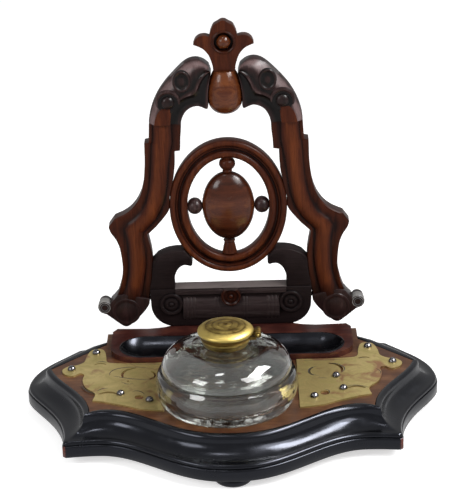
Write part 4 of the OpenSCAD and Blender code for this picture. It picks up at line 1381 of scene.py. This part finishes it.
@dataclass
class ScrollHead:
    """A carved head over a leg: a fat rolled scroll above a hollowed and pointed leaf."""

    thick: float = 16.0
    button: Flat = (38.8, 166.0)
    patera: Flat = (29.0, 180.6)
    arch_r: float = 7.6
    arch_steps: int = 26

    def stations(self) -> list[tuple[float, ...]]:
        """Stations from the joint on the leg round to the end beside the ball.

        Returns:
            At each, a point on the outer edge and one on the inner edge, as x and z in turn.
        """
        return through([
            (52.4, 150, 30.6, 150), (52.2, 153.5, 29.6, 154), (50.6, 159.8, 27.4, 158.1),
            (48.2, 165.9, 24.6, 160.6), (44.8, 172.1, 21.4, 162), (41.2, 177.1, 18.4, 162.3),
            (37.4, 181.5, 15.8, 161.4), (33, 186.1, 12.6, 160.1), (29, 189.9, 11.5, 162.1),
            (25.2, 192.5, 11.6, 166.6), (21.4, 193.8, 11.4, 171.5), (17.6, 193.7, 10.8, 176.1),
            (13.8, 192.2, 10, 180.5), (10.6, 189.5, 9.1, 184.5),
        ], 3)

    def build(self, side: Side) -> None:
        """Carves one head, with the end of the leg's ridge under its arch.

        Args:
            side: Which head it is.
        """
        back, front = self.thick / 2, -self.thick / 2
        # The outer band is painted palest, the hollow darkest and the crisp ridge light: painted
        # highlight and painted shade over the head's relief.
        parts = (
            (0.0, back - 0.8, 0.3), (0.05, back, 0.3), (0.95, back, 0.3), (1.0, back - 0.8, 0.3),
            (1.0, -5.2, 0.45), (0.97, -6.1, 0.5), (0.91, -6.2, 0.3), (0.84, -5.4, 0.1),
            (0.75, -5.0, 0.0), (0.67, -5.2, 0.0), (0.61, -5.8, 0.0), (0.565, -7.5, 0.55),
            (0.52, -7.7, 0.45), (0.47, -7.1, 0.05), (0.41, front + 0.5, 0.15), (0.34, front, 0.3),
            (0.27, front + 0.4, 0.4), (0.2, front + 1.2, 0.65), (0.14, front + 2.3, 0.95),
            (0.08, front + 3.7, 0.95), (0.03, front + 5.2, 0.7), (0.0, front + 6.2, 0.5),
        )
        rings = []
        for station in self.stations():
            places = [blend(station[:2], station[2:], share) for share, _, _ in parts]
            rings.append([
                on_panel(x, depth, z, rub) for (x, z), (_, depth, rub) in zip(places, parts)
            ])
        work = Workpiece()
        work.sweep(rings)
        # The patera's sunk ring is painted dark and its rim lighter: painted shade and painted
        # highlight.
        oval = [
            (0, -1.8, 0), (6.9, -1.8, 0), (6.8, 0.2, 0), (6.4, 0.7, 0.4), (5.8, 0.75, 0.4),
            (5.2, 0.4, 0.2), (4.8, 0.0, 0), (4.2, -0.1, 0), (2.6, 0.2, 0.1), (1.9, 0.6, 0.3),
            (0, 0.8, 0.35),
        ]
        work.ornament(oval, self.patera, front, stretch=(0.9, 1.12, 1.0))
        work.ornament([(0, -1.4), (7.4, -1.4), (7.4, 0.12), (0, 0.12)], self.button, front, 0.0)
        self.arch(work)
        work.become("*_head_carved", DARK_WALNUT, "*_head", side=side, sharp=42)
        ridge = through(
            [(43.2, 150.1, 5.6), (42.6, 154, 5.4), (41.6, 158, 4.8), (40.3, 161.8, 3.4)], 3
        )
        rings = []
        for x, z, half in ridge:
            ring = [on_panel(x + half, -5, z), on_panel(x - half, -5, z)]
            for a in (math.radians(turn) for turn in range(165, 0, -15)):
                ring.append(on_panel(x + half * math.cos(a), -7.6 - 0.9 * math.sin(a) ** 0.7, z))
            rings.append(ring)
        work = Workpiece()
        work.sweep(rings, 0.55)
        work.become("*_ridge_end", RED_WALNUT, side=side, sharp=60)

    def arch(self, work: Workpiece) -> None:
        """Carves the arched rim over the button, under which the leg's ridge ends.

        Args:
            work: The head's workpiece.
        """
        rings = []
        for share in (k / self.arch_steps for k in range(self.arch_steps + 1)):
            a = math.radians(-25 + 215 * share)
            tube = 0.35 + 1.25 * max(0.0, math.sin(math.pi * share)) ** 0.6
            out, seat = Vector((math.cos(a), math.sin(a))), -self.thick / 2 + 0.3
            ring = []
            for across, depth in arc((0.0, 0.0), tube, 0, 315, 7):
                spot = Vector(self.button) + out * (self.arch_r + across)
                ring.append(on_panel(spot.x, seat + depth, spot.y))
            rings.append(ring)
        work.sweep(rings)

    def build_buttons(self) -> None:
        """Turns the round button in each arch."""
        profile = [
            (0, 0, 0), (4.4, 0, 0), (4.5, 0.8, 0.1), (4.2, 1.5, 0.2), (3.4, 2.2, 0.3),
            (2.2, 2.7, 0.3), (1.0, 2.9, 0.3), (0, 2.95, 0.3),
        ]
        seat = -self.thick / 2 + 0.2
        twin_ornaments(
            "head_buttons_turned", DARK_WALNUT, "head_rosettes", profile, self.button, seat
        )


@dataclass
class OvalRing:
    """The oval ring between the legs, with its boss, beads and drop."""

    rx: float = 40.7
    rz: float = 48.5
    band: float = 12.3
    centre: float = 88.5
    boss: Solid = (18.2, 10.0, 25.0)
    steps: int = 112

    def build_ring(self) -> None:
        """Runs the ring's moulding round its oval."""
        # The beads' crests are painted lighter than the grooves between them: painted highlight and
        # painted shade.
        parts = (
            (0.0, 3.6, 0.42), (0.0, -3.8, 0.42), (0.5, -4.9, 0.52), (1.6, -5.5, 0.57),
            (2.9, -5.5, 0.57), (3.9, -4.9, 0.42), (4.2, -4.2, 0.12), (4.6, -4.5, 0.32),
            (5.2, -4.4, 0.42), (5.5, -3.6, 0.22), (6.2, -2.9, 0.12), (7.0, -3.0, 0.12),
            (7.5, -3.8, 0.22), (7.9, -4.8, 0.42), (8.9, -5.4, 0.57), (10.4, -5.5, 0.57),
            (11.7, -5.1, 0.52), (12.3, -4.1, 0.42), (12.3, 3.6, 0.37), (11.6, 5.5, 0.42),
            (0.7, 5.5, 0.42),
        )
        rings = []
        for a in (2 * math.pi * k / self.steps for k in range(self.steps)):
            x, z = math.cos(a), math.sin(a)
            rings.append([
                on_panel((self.rx - d) * x, depth, self.centre + (self.rz - d) * z, rub)
                for d, depth, rub in parts
            ])
        work = Workpiece()
        work.sweep(rings, round_trip=True)
        work.become("oval_ring_moulded", RED_WALNUT, "oval_ring", sharp=44)

    def build_boss(self) -> None:
        """Carves the egg-shaped boss."""
        round_half = [(0.0, -1.0), *arc((0, 0), 1.0, -84, 84, 28), (0.0, 1.0)]
        # The egg is painted lighter round its middle and darker towards its top and bottom: painted
        # shade towards its edges.
        profile = [(r, z, 0.15 + 0.4 * max(0.0, 1 - abs(z)) ** 0.6) for r, z in round_half]
        work = Workpiece()
        work.turn(profile, on_panel(0, 0, self.centre), Axis.UP, 72, stretch=self.boss)
        work.become("egg_boss", TURNED_WALNUT, "oval_boss")

    def build_beads(self) -> None:
        """Turns the three beads and the drop that hold the boss."""
        gap = self.rz - self.band - self.boss[2]
        bead = [(0, -0.2), (3.2, -0.2), (3.4, 0.7), (3.0, 1.4), (3.6, 1.9)]
        bead += through([(4.4, 2.6), (5.5, 4.4), (5.6, 6.2), (4.9, 8.2), (3.4, 9.4)], 4)
        bead += [(3.6, 9.8), (3.9, 10.4), (3.6, 11.0), (0, 11.0)]
        work = Workpiece()
        fitted = [(r, z * gap / 11.2) for r, z in bead]
        work.turn(fitted, on_panel(0, 0, self.centre + self.boss[2]), Axis.UP, 48)
        work.become("top_bead_turned", RED_WALNUT, "top_bead")
        r = (self.rx - self.band - self.boss[0]) / 2
        bead = [(0, -r), (2.4, -r), (2.6, 0.3 - r)]
        bead += through([
            (3.4, 0.6 - r), (r + 0.1, -r * 0.52), (r + 0.8, 0), (r + 0.1, r * 0.52), (3.4, r - 0.6),
        ], 4)
        bead += [(2.6, r - 0.3), (2.4, r), (0, r)]
        for side in Side:
            work = Workpiece()
            work.turn(bead, on_panel(self.boss[0] + r, 0, self.centre), Axis.ACROSS, 48)
            work.become("*_bead_turned", DARK_WALNUT, "*_bead", side=side)
        drop = [
            (0, 0.2), (2.4, 0.3), (4.6, 0.8), (5.2, 1.5), (5.1, 2.2), (4.7, 3.4), (4.2, 6.4),
            (3.6, 8.6), (3.3, 9.2), (3.9, 9.7), (4.2, 10.3), (3.9, 10.8), (0, 10.9),
        ]
        work = Workpiece()
        work.turn(drop, on_panel(0, 0, self.centre - self.rz + self.band), Axis.UP, 48)
        work.become("ring_drop_turned", RED_WALNUT, "ring_drop")

    def build(self) -> None:
        """Makes the ring, the boss, the beads and the drop."""
        self.build_ring()
        self.build_boss()
        self.build_beads()


@dataclass
class ScrollArm:
    """The dark C-scroll between the rail and the ring."""

    thick: float = 12.6
    rail_half: float = 56.5
    rail_h: float = 28.5
    base: float = 40.0
    ring: OvalRing = field(default_factory=OvalRing)

    def ring_x(self, z: float) -> float:
        """Distance of the ring's edge from the middle at a height."""
        share = (z - self.ring.centre) / (self.ring.rz + 0.3)
        return (self.ring.rx + 0.3) * math.sqrt(1 - share * share)

    def ring_z(self, x: float) -> float:
        """Height of the ring's lower edge at a distance from the middle."""
        share = x / (self.ring.rx + 0.3)
        return self.ring.centre - (self.ring.rz + 0.3) * math.sqrt(1 - share * share)

    def outline(self) -> list[Flat]:
        """The arm's outline.

        Returns:
            Its points across and up, from its foot on the rail round under the ring.
        """
        w, b, low, top = self.rail_half, self.base, self.rail_h, self.base + 17.4
        points: list[Flat] = [
            (57.0, low), (56.2, 32.6), (55.3, 36.4), (54.6, b + 3), (54.1, b + 9.5),
        ]
        points += through([
            (w - 6.1, b + 13.4), (w - 11.9, b + 16), (w - 17.9, b + 17.2), (self.ring_x(top), top),
        ], 4)
        points += [(x, self.ring_z(x)) for x in (30, 29, 28, 27)]
        points += [(w - 30.3, b + 6.4), (w - 28.9, b + 5.4)]
        return points + through([
            (w - 26.5, b + 6.2), (w - 23.1, b + 6), (w - 19.5, b + 2.8), (w - 17.2, 36.5),
            (w - 17.2, low),
        ], 4)

    def build(self, side: Side) -> None:
        """Carves one arm.

        Args:
            side: Which arm it is.
        """
        work = Workpiece()
        work.fret(self.outline(), -self.thick / 2, self.thick / 2)
        work.soften(1.1, 3, 50)
        work.seat()
        # The upper scroll is painted lighter than the rest of the arm: a painted highlight on its
        # top.
        work.wear(lambda at, _: 0.36 if at.z > BLOCK_TOP + self.base + 13 else 0.24)
        work.become("*_arm_carved", WAXED_WALNUT, "*_arm", side=side)


@dataclass
class BottomRail:
    """The dark rail at the foot of the panel, with a roll, two rosettes and a half patera."""

    width: float = 113.0
    height: float = 28.5
    thick: float = 13.0
    corner: float = 16.5
    roll_r: float = 13.5
    roll_l: float = 68.0
    roll_y: float = 3.2
    rosette: Flat = (42.0, 17.6)
    patera: Flat = (0.0, 23.5)

    def build(self) -> None:
        """Carves the rail with its ornaments."""
        half, front = self.width / 2, -self.thick / 2
        right = arc((half - self.corner, self.corner), self.corner, -90, 0, 14)
        right.append((half + 0.4, self.height))
        work = Workpiece()
        work.fret(right + [(-x, z) for x, z in reversed(right)], front, -front, rub=0.22)
        work.soften(0.7, 3, 50)
        work.seat()
        self.roll(work)
        self.strips(work)
        # What stands proud of the rail's face is painted lighter than the face.
        work.wear(lambda at, rub: max(rub, 0.5 if at.y < PANEL_Y + front - 0.2 else 0.22))
        work.become("bottom_rail_carved", WAXED_WALNUT, "bottom_rail")
        # The rosettes' rims are painted lighter and their grooves darker: painted highlight and
        # painted shade.
        profile = [
            (0, 0, 0), (8.2, 0, 0), (8.2, 1.5, 0.1), (7.7, 2.1, 0.3), (6.8, 2.3, 0.3),
            (6.0, 2.1, 0.2), (5.5, 1.7, 0.1), (5.0, 1.7, 0.1), (4.3, 2.1, 0.2), (3.2, 2.5, 0.3),
            (2.3, 2.4, 0.2), (1.9, 2.1, 0.1), (1.4, 2.4, 0.2), (0.8, 2.9, 0.3), (0, 3.0, 0.3),
        ]
        twin_ornaments(
            "rail_rosettes_turned", WAXED_WALNUT, "rail_rosettes", profile, self.rosette, front
        )
        self.half_patera()

    def roll(self, work: Workpiece) -> None:
        """Turns the reeded roll and saws away its back.

        Args:
            work: The rail's workpiece.
        """
        r, half = self.roll_r, self.roll_l / 2
        profile = [(0, -half, 0.1), (r - 1.4, -half, 0.2), (r - 0.6, -half + 0.5, 0.4)]
        outer = (half - 9.4, half - 1.4)
        # Each reed's crest is painted lighter than its edges: a painted highlight along the reeds.
        reed = ((0, 0.8, 0), (0.25, 0.5, 0.3), (0.5, 0.4, 0.4), (0.75, 0.5, 0.3))
        for start, end, count in (
            (-outer[1], -outer[0], 3), (-12.0, -7.5, 2), (7.5, 12.0, 2), (*outer, 3)
        ):
            pitch = (end - start) / count
            for at in (start + k * pitch for k in range(count)):
                for along, sunk, rub in reed:
                    profile.append((r - sunk, at + pitch * along, rub))
            profile += [(r - 0.8, end, 0.0), (r - 0.6, end + 0.3, 0.25)]
        profile += [(r - 0.6, half - 0.5, 0.4), (r - 1.4, half, 0.2), (0, half, 0.1)]
        before = set(work.mesh.verts)
        work.turn(profile, on_panel(0, self.roll_y, r), Axis.ACROSS, 72)
        work.saw(work.since(before), (0, PANEL_Y + 1, 0), (0, 1, 0))

    def strips(self, work: Workpiece) -> None:
        """Carves the thin strip under the rail's top edge, and a skin on the top between the arms
        that is painted pale grey, a painted reflection of the white room.

        Args:
            work: The rail's workpiece.
        """
        front, low, high = -self.thick / 2, self.height - 0.3, self.height + 0.06
        strip = (
            (front + 1, 24.4), (front - 1.0, 24.4), (front - 1.4, 24.8), (front - 1.4, 27.4),
            (front - 1.0, 27.9), (front + 1, 27.9),
        )
        painted_reflection_top = ((front + 0.5, low), (front + 0.5, high), (-front - 0.5, high), (-front - 0.5, low))
        # The top's skin is painted fully lit, in the pale grey ridge colour: a painted reflection.
        for section, half, rub in ((strip, 39, 0.35), (painted_reflection_top, 39.2, 1.0)):
            work.sweep([[on_panel(x, y, z) for y, z in section] for x in (-half, half)], rub)

    def half_patera(self) -> None:
        """Carves the half-round patera under the middle of the rail's top edge."""
        # The patera's rims are painted lighter and its grooves darker: painted highlight and
        # painted shade.
        profile = [
            (0, -3, 0), (7.0, -3, 0.1), (7.0, 1.4, 0.15), (6.6, 2.1, 0.3), (5.8, 2.3, 0.3),
            (5.2, 1.8, 0.15), (4.8, 1.5, 0.1), (3.6, 1.7, 0.2), (2.2, 1.6, 0.2), (1.8, 1.4, 0.05),
            (1.5, 1.9, 0.2), (0.9, 2.6, 0.4), (0, 2.8, 0.5),
        ]
        work = Workpiece()
        work.ornament(profile, self.patera, -self.thick / 2 - 2.6)
        work.saw(list(work.mesh.verts), (0, 0, BLOCK_TOP + self.height), (0, 0, 1))
        work.become("rail_patera_carved", RED_WALNUT, "rail_patera")


@dataclass
class Crest:
    """The ball between the heads and the three-lobed leaf that stands on it."""

    ball_w: float = 24.0
    ball_deep: float = 22.4
    ball_low: float = 12.2
    ball_high: float = 18.2
    ball_flat: float = 7.6
    ball_z: float = 167.6
    finial_z: float = 185.8
    finial_h: float = 35.2
    finial_t: float = 8.0
    eye_r: float = 6.7
    eye_down: float = 15.0
    button_r: float = 4.9
    button_z: float = 1.4

    def outline(self) -> list[Flat]:
        """The leaf's outline.

        Returns:
            Its points across and up, with heights above the ball.
        """
        h, e = self.finial_h, self.finial_h - self.eye_down
        right: list[Flat] = [(7.4, 0), (7.7, 4)]
        right += through([(8.4, 6.6), (10.2, 11.4), (13.4, 15.4), (16.8, 17.5), (20.3, e - 1.3)], 4)
        right += through([
            (20.3, e - 0.9), (19.0, e + 2.1), (16.2, e + 4.3), (12.4, e + 4.8), (9.4, e + 4),
        ], 4)
        right += through([(8.6, e + 7.4), (6.6, e + 11.6), (4, h - 1.8), (1.6, h - 0.3)], 3)
        return right + [(0, h)] + [(-x, z) for x, z in reversed(right)]

    def build_ball(self) -> None:
        """Turns the ball, round below and drawn up to a small flat above."""
        w, high = self.ball_w / 2, self.ball_high
        share = math.sqrt(1 - (self.ball_flat / w) ** 2)
        profile: list[Flat] = [(0.0, -self.ball_low)]
        for x, z in (swollen(a, 0.86) for a in range(86, 0, -4)):
            profile.append((w * x, -self.ball_low * z))
        for up in (share * i / 14 for i in range(1, 15)):
            profile.append((w * math.sqrt(1 - up * up), high / share * up))
        profile.append((0.0, high))
        # The lathe has left faint lines round the ball
        lined = [
            (r - (0.1 if i % 3 == 0 and 2 < r else 0.0), z) for i, (r, z) in enumerate(profile)
        ]
        work = Workpiece()
        oval = (1.0, self.ball_deep / self.ball_w, 1.0)
        work.turn(lined, on_panel(0, 0, self.ball_z), rub=0.6, stretch=oval)
        work.become("turned_ball_polished", TURNED_WALNUT, "turned_ball")

    def build_leaf(self) -> None:
        """Saws and carves the leaf, with its round eye, which is closed behind."""
        e, r, back = self.finial_h - self.eye_down, self.eye_r, self.finial_t / 2
        work = Workpiece()
        work.fret(self.outline(), -back, back, arc((0.0, e), r, 0, 351, 39))
        work.soften(1.5, 4, 50)
        # The eye's floor is painted darkest: painted shade in the recess round the button.
        floor = [(0, 0.2), (r + 1.4, 0.2), (r + 1.4, 3.9), (0, 3.9)]
        work.turn(floor, (0, back, e), Axis.WRITER, 40, 0.0)
        rim = [(r - 0.2, -0.6), (r - 0.1, 0.5), (r + 0.6, 0.9), (r + 1.3, 0.5), (r + 1.5, -0.6)]
        work.turn(rim, (0, -back, e), Axis.WRITER, 48, 0.35, closed=True)
        work.seat(self.finial_z)
        work.become("leaf_finial", RED_WALNUT, "finial", sharp=45)

    def build_button(self) -> None:
        """Turns the button in the leaf's eye."""
        r, low = self.button_r, self.button_z
        profile = [(0, 0), (r - 1, 0), *arc((0, low), r, 0, 84, 12), (0, low + r)]
        work = Workpiece()
        at = (0.0, self.finial_z + self.finial_h - self.eye_down)
        work.ornament(profile, at, self.finial_t / 2 - 4, 0.55)
        work.become("finial_button_turned", TURNED_WALNUT, "finial_button")

    def build(self) -> None:
        """Makes the ball, the leaf and its button."""
        self.build_ball()
        self.build_leaf()
        self.build_button()


@dataclass
class BackPanel:
    """The whole pierced panel behind the tray."""

    rail: BottomRail = field(default_factory=BottomRail)
    leg: Leg = field(default_factory=Leg)
    head: ScrollHead = field(default_factory=ScrollHead)
    arm: ScrollArm = field(default_factory=ScrollArm)
    crest: Crest = field(default_factory=Crest)

    def build(self) -> None:
        """Builds the panel's pieces from the rail up."""
        self.rail.build()
        for side in Side:
            self.leg.build(side)
            self.head.build(side)
            self.arm.build(side)
        self.leg.build_bosses()
        self.head.build_buttons()
        self.arm.ring.build()
        self.crest.build()
        dress(PLAIN_WALNUT, "panel_dowels", "boss_dowels")


@dataclass
class Studio:
    """White paper floor, two soft boxes, two windows and the photograph's camera, in metres."""

    eye: Solid = (0.01436, -1.09233, 0.56499)
    right: Solid = (0.99963262, -0.0018919, -0.02703802)
    up: Solid = (0.02577691, 0.37469548, 0.92678954)
    ahead: Solid = (-0.00837763, 0.92714601, -0.37460659)
    aim: Solid = (0.0, 0.0, 0.09)
    focal_px: float = 1812.48
    long_side_px: int = 500
    sensor_mm: float = 36.0
    paper_size: float = 3.0

    def floor(self) -> None:
        """Lays the white paper that the inkstand stands on."""
        bm = bmesh.new()
        bmesh.ops.create_grid(bm, x_segments=1, y_segments=1, size=self.paper_size)
        data = bpy.data.meshes.new("paper_floor")
        bm.to_mesh(data)
        bm.free()
        data.materials.append(PAPER.material)
        paper = bpy.data.objects.new("paper_floor", data)
        bpy.context.scene.collection.objects.link(paper)

    def backdrop(self) -> None:
        """Makes the world white where it is seen and soft grey where it only lights."""
        world = bpy.data.worlds.new("white_room")
        bpy.context.scene.world = world
        world.use_nodes = True
        add = partial(add_node, world.node_tree)
        seen, mirrored = rays_seen(add)
        grey = add("MapRange", {"To Min": 0.34, "To Max": 0.5, "Value": mirrored})
        strength = add("Math", {"operation": "MAXIMUM", 0: seen, 1: grey})
        sky = world.node_tree.nodes["Background"]
        set_up(world.node_tree, sky, {"Color": (1, 1, 1, 1), "Strength": strength})

    def lamp(self, name: str, place: Solid, size: Flat, power: float, shine: bool = False) -> None:
        """Hangs one soft box, aimed at the inkstand.

        Args:
            name: Its name.
            place: Where it hangs.
            size: Its width and height.
            power: Its power in watts.
            shine: Whether it is a window that only shows in polished surfaces.
        """
        light = bpy.data.lights.new(name, "AREA")
        light.shape = "RECTANGLE"
        light.size, light.size_y = size
        light.energy = power
        box = bpy.data.objects.new(name, light)
        box.location = place
        box.rotation_euler = (Vector(self.aim) - Vector(place)).to_track_quat("-Z", "Y").to_euler()
        box.visible_diffuse = not shine
        bpy.context.scene.collection.objects.link(box)

    def camera(self) -> None:
        """Sets the camera where the photograph was taken from."""
        lens = bpy.data.cameras.new("view_camera")
        lens.sensor_fit = "AUTO"
        lens.sensor_width = self.sensor_mm
        lens.lens = self.focal_px * self.sensor_mm / self.long_side_px
        camera = bpy.data.objects.new("view_camera", lens)
        columns = zip(self.right, self.up, (-v for v in self.ahead), self.eye)
        camera.matrix_world = Matrix([*columns, (0, 0, 0, 1)])
        bpy.context.scene.collection.objects.link(camera)
        bpy.context.scene.camera = camera

    def build(self) -> None:
        """Sets up the floor, the backdrop, the lamps and the camera."""
        self.floor()
        self.backdrop()
        self.lamp("right_soft_box", (0.75, -0.55, 0.95), (0.65, 0.55), 11.5)
        self.lamp("left_soft_box", (-0.9, -0.75, 0.75), (0.5, 0.5), 7.0)
        self.lamp("right_window", (0.6, 0.0, 0.9), (0.7, 0.3), 22.0, True)
        self.lamp("left_window", (-0.12, -0.1, 1.0), (0.12, 0.16), 0.8, True)
        self.camera()
        bpy.context.scene.view_settings.view_transform = "Standard"
        log.info("studio: floor, backdrop, two soft boxes, two windows and camera")


def main() -> None:
    """Builds the object and its studio."""
    logging.basicConfig(level=logging.INFO, format="%(message)s")
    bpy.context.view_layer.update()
    for assembly in (
        SerpentineBase(), PenTrough(), EngravedPlates(), Inkwell(), BackPanel(), Studio()
    ):
        log.info("building %s", type(assembly).__name__)
        assembly.build()


if __name__ == "__main__":
    main()
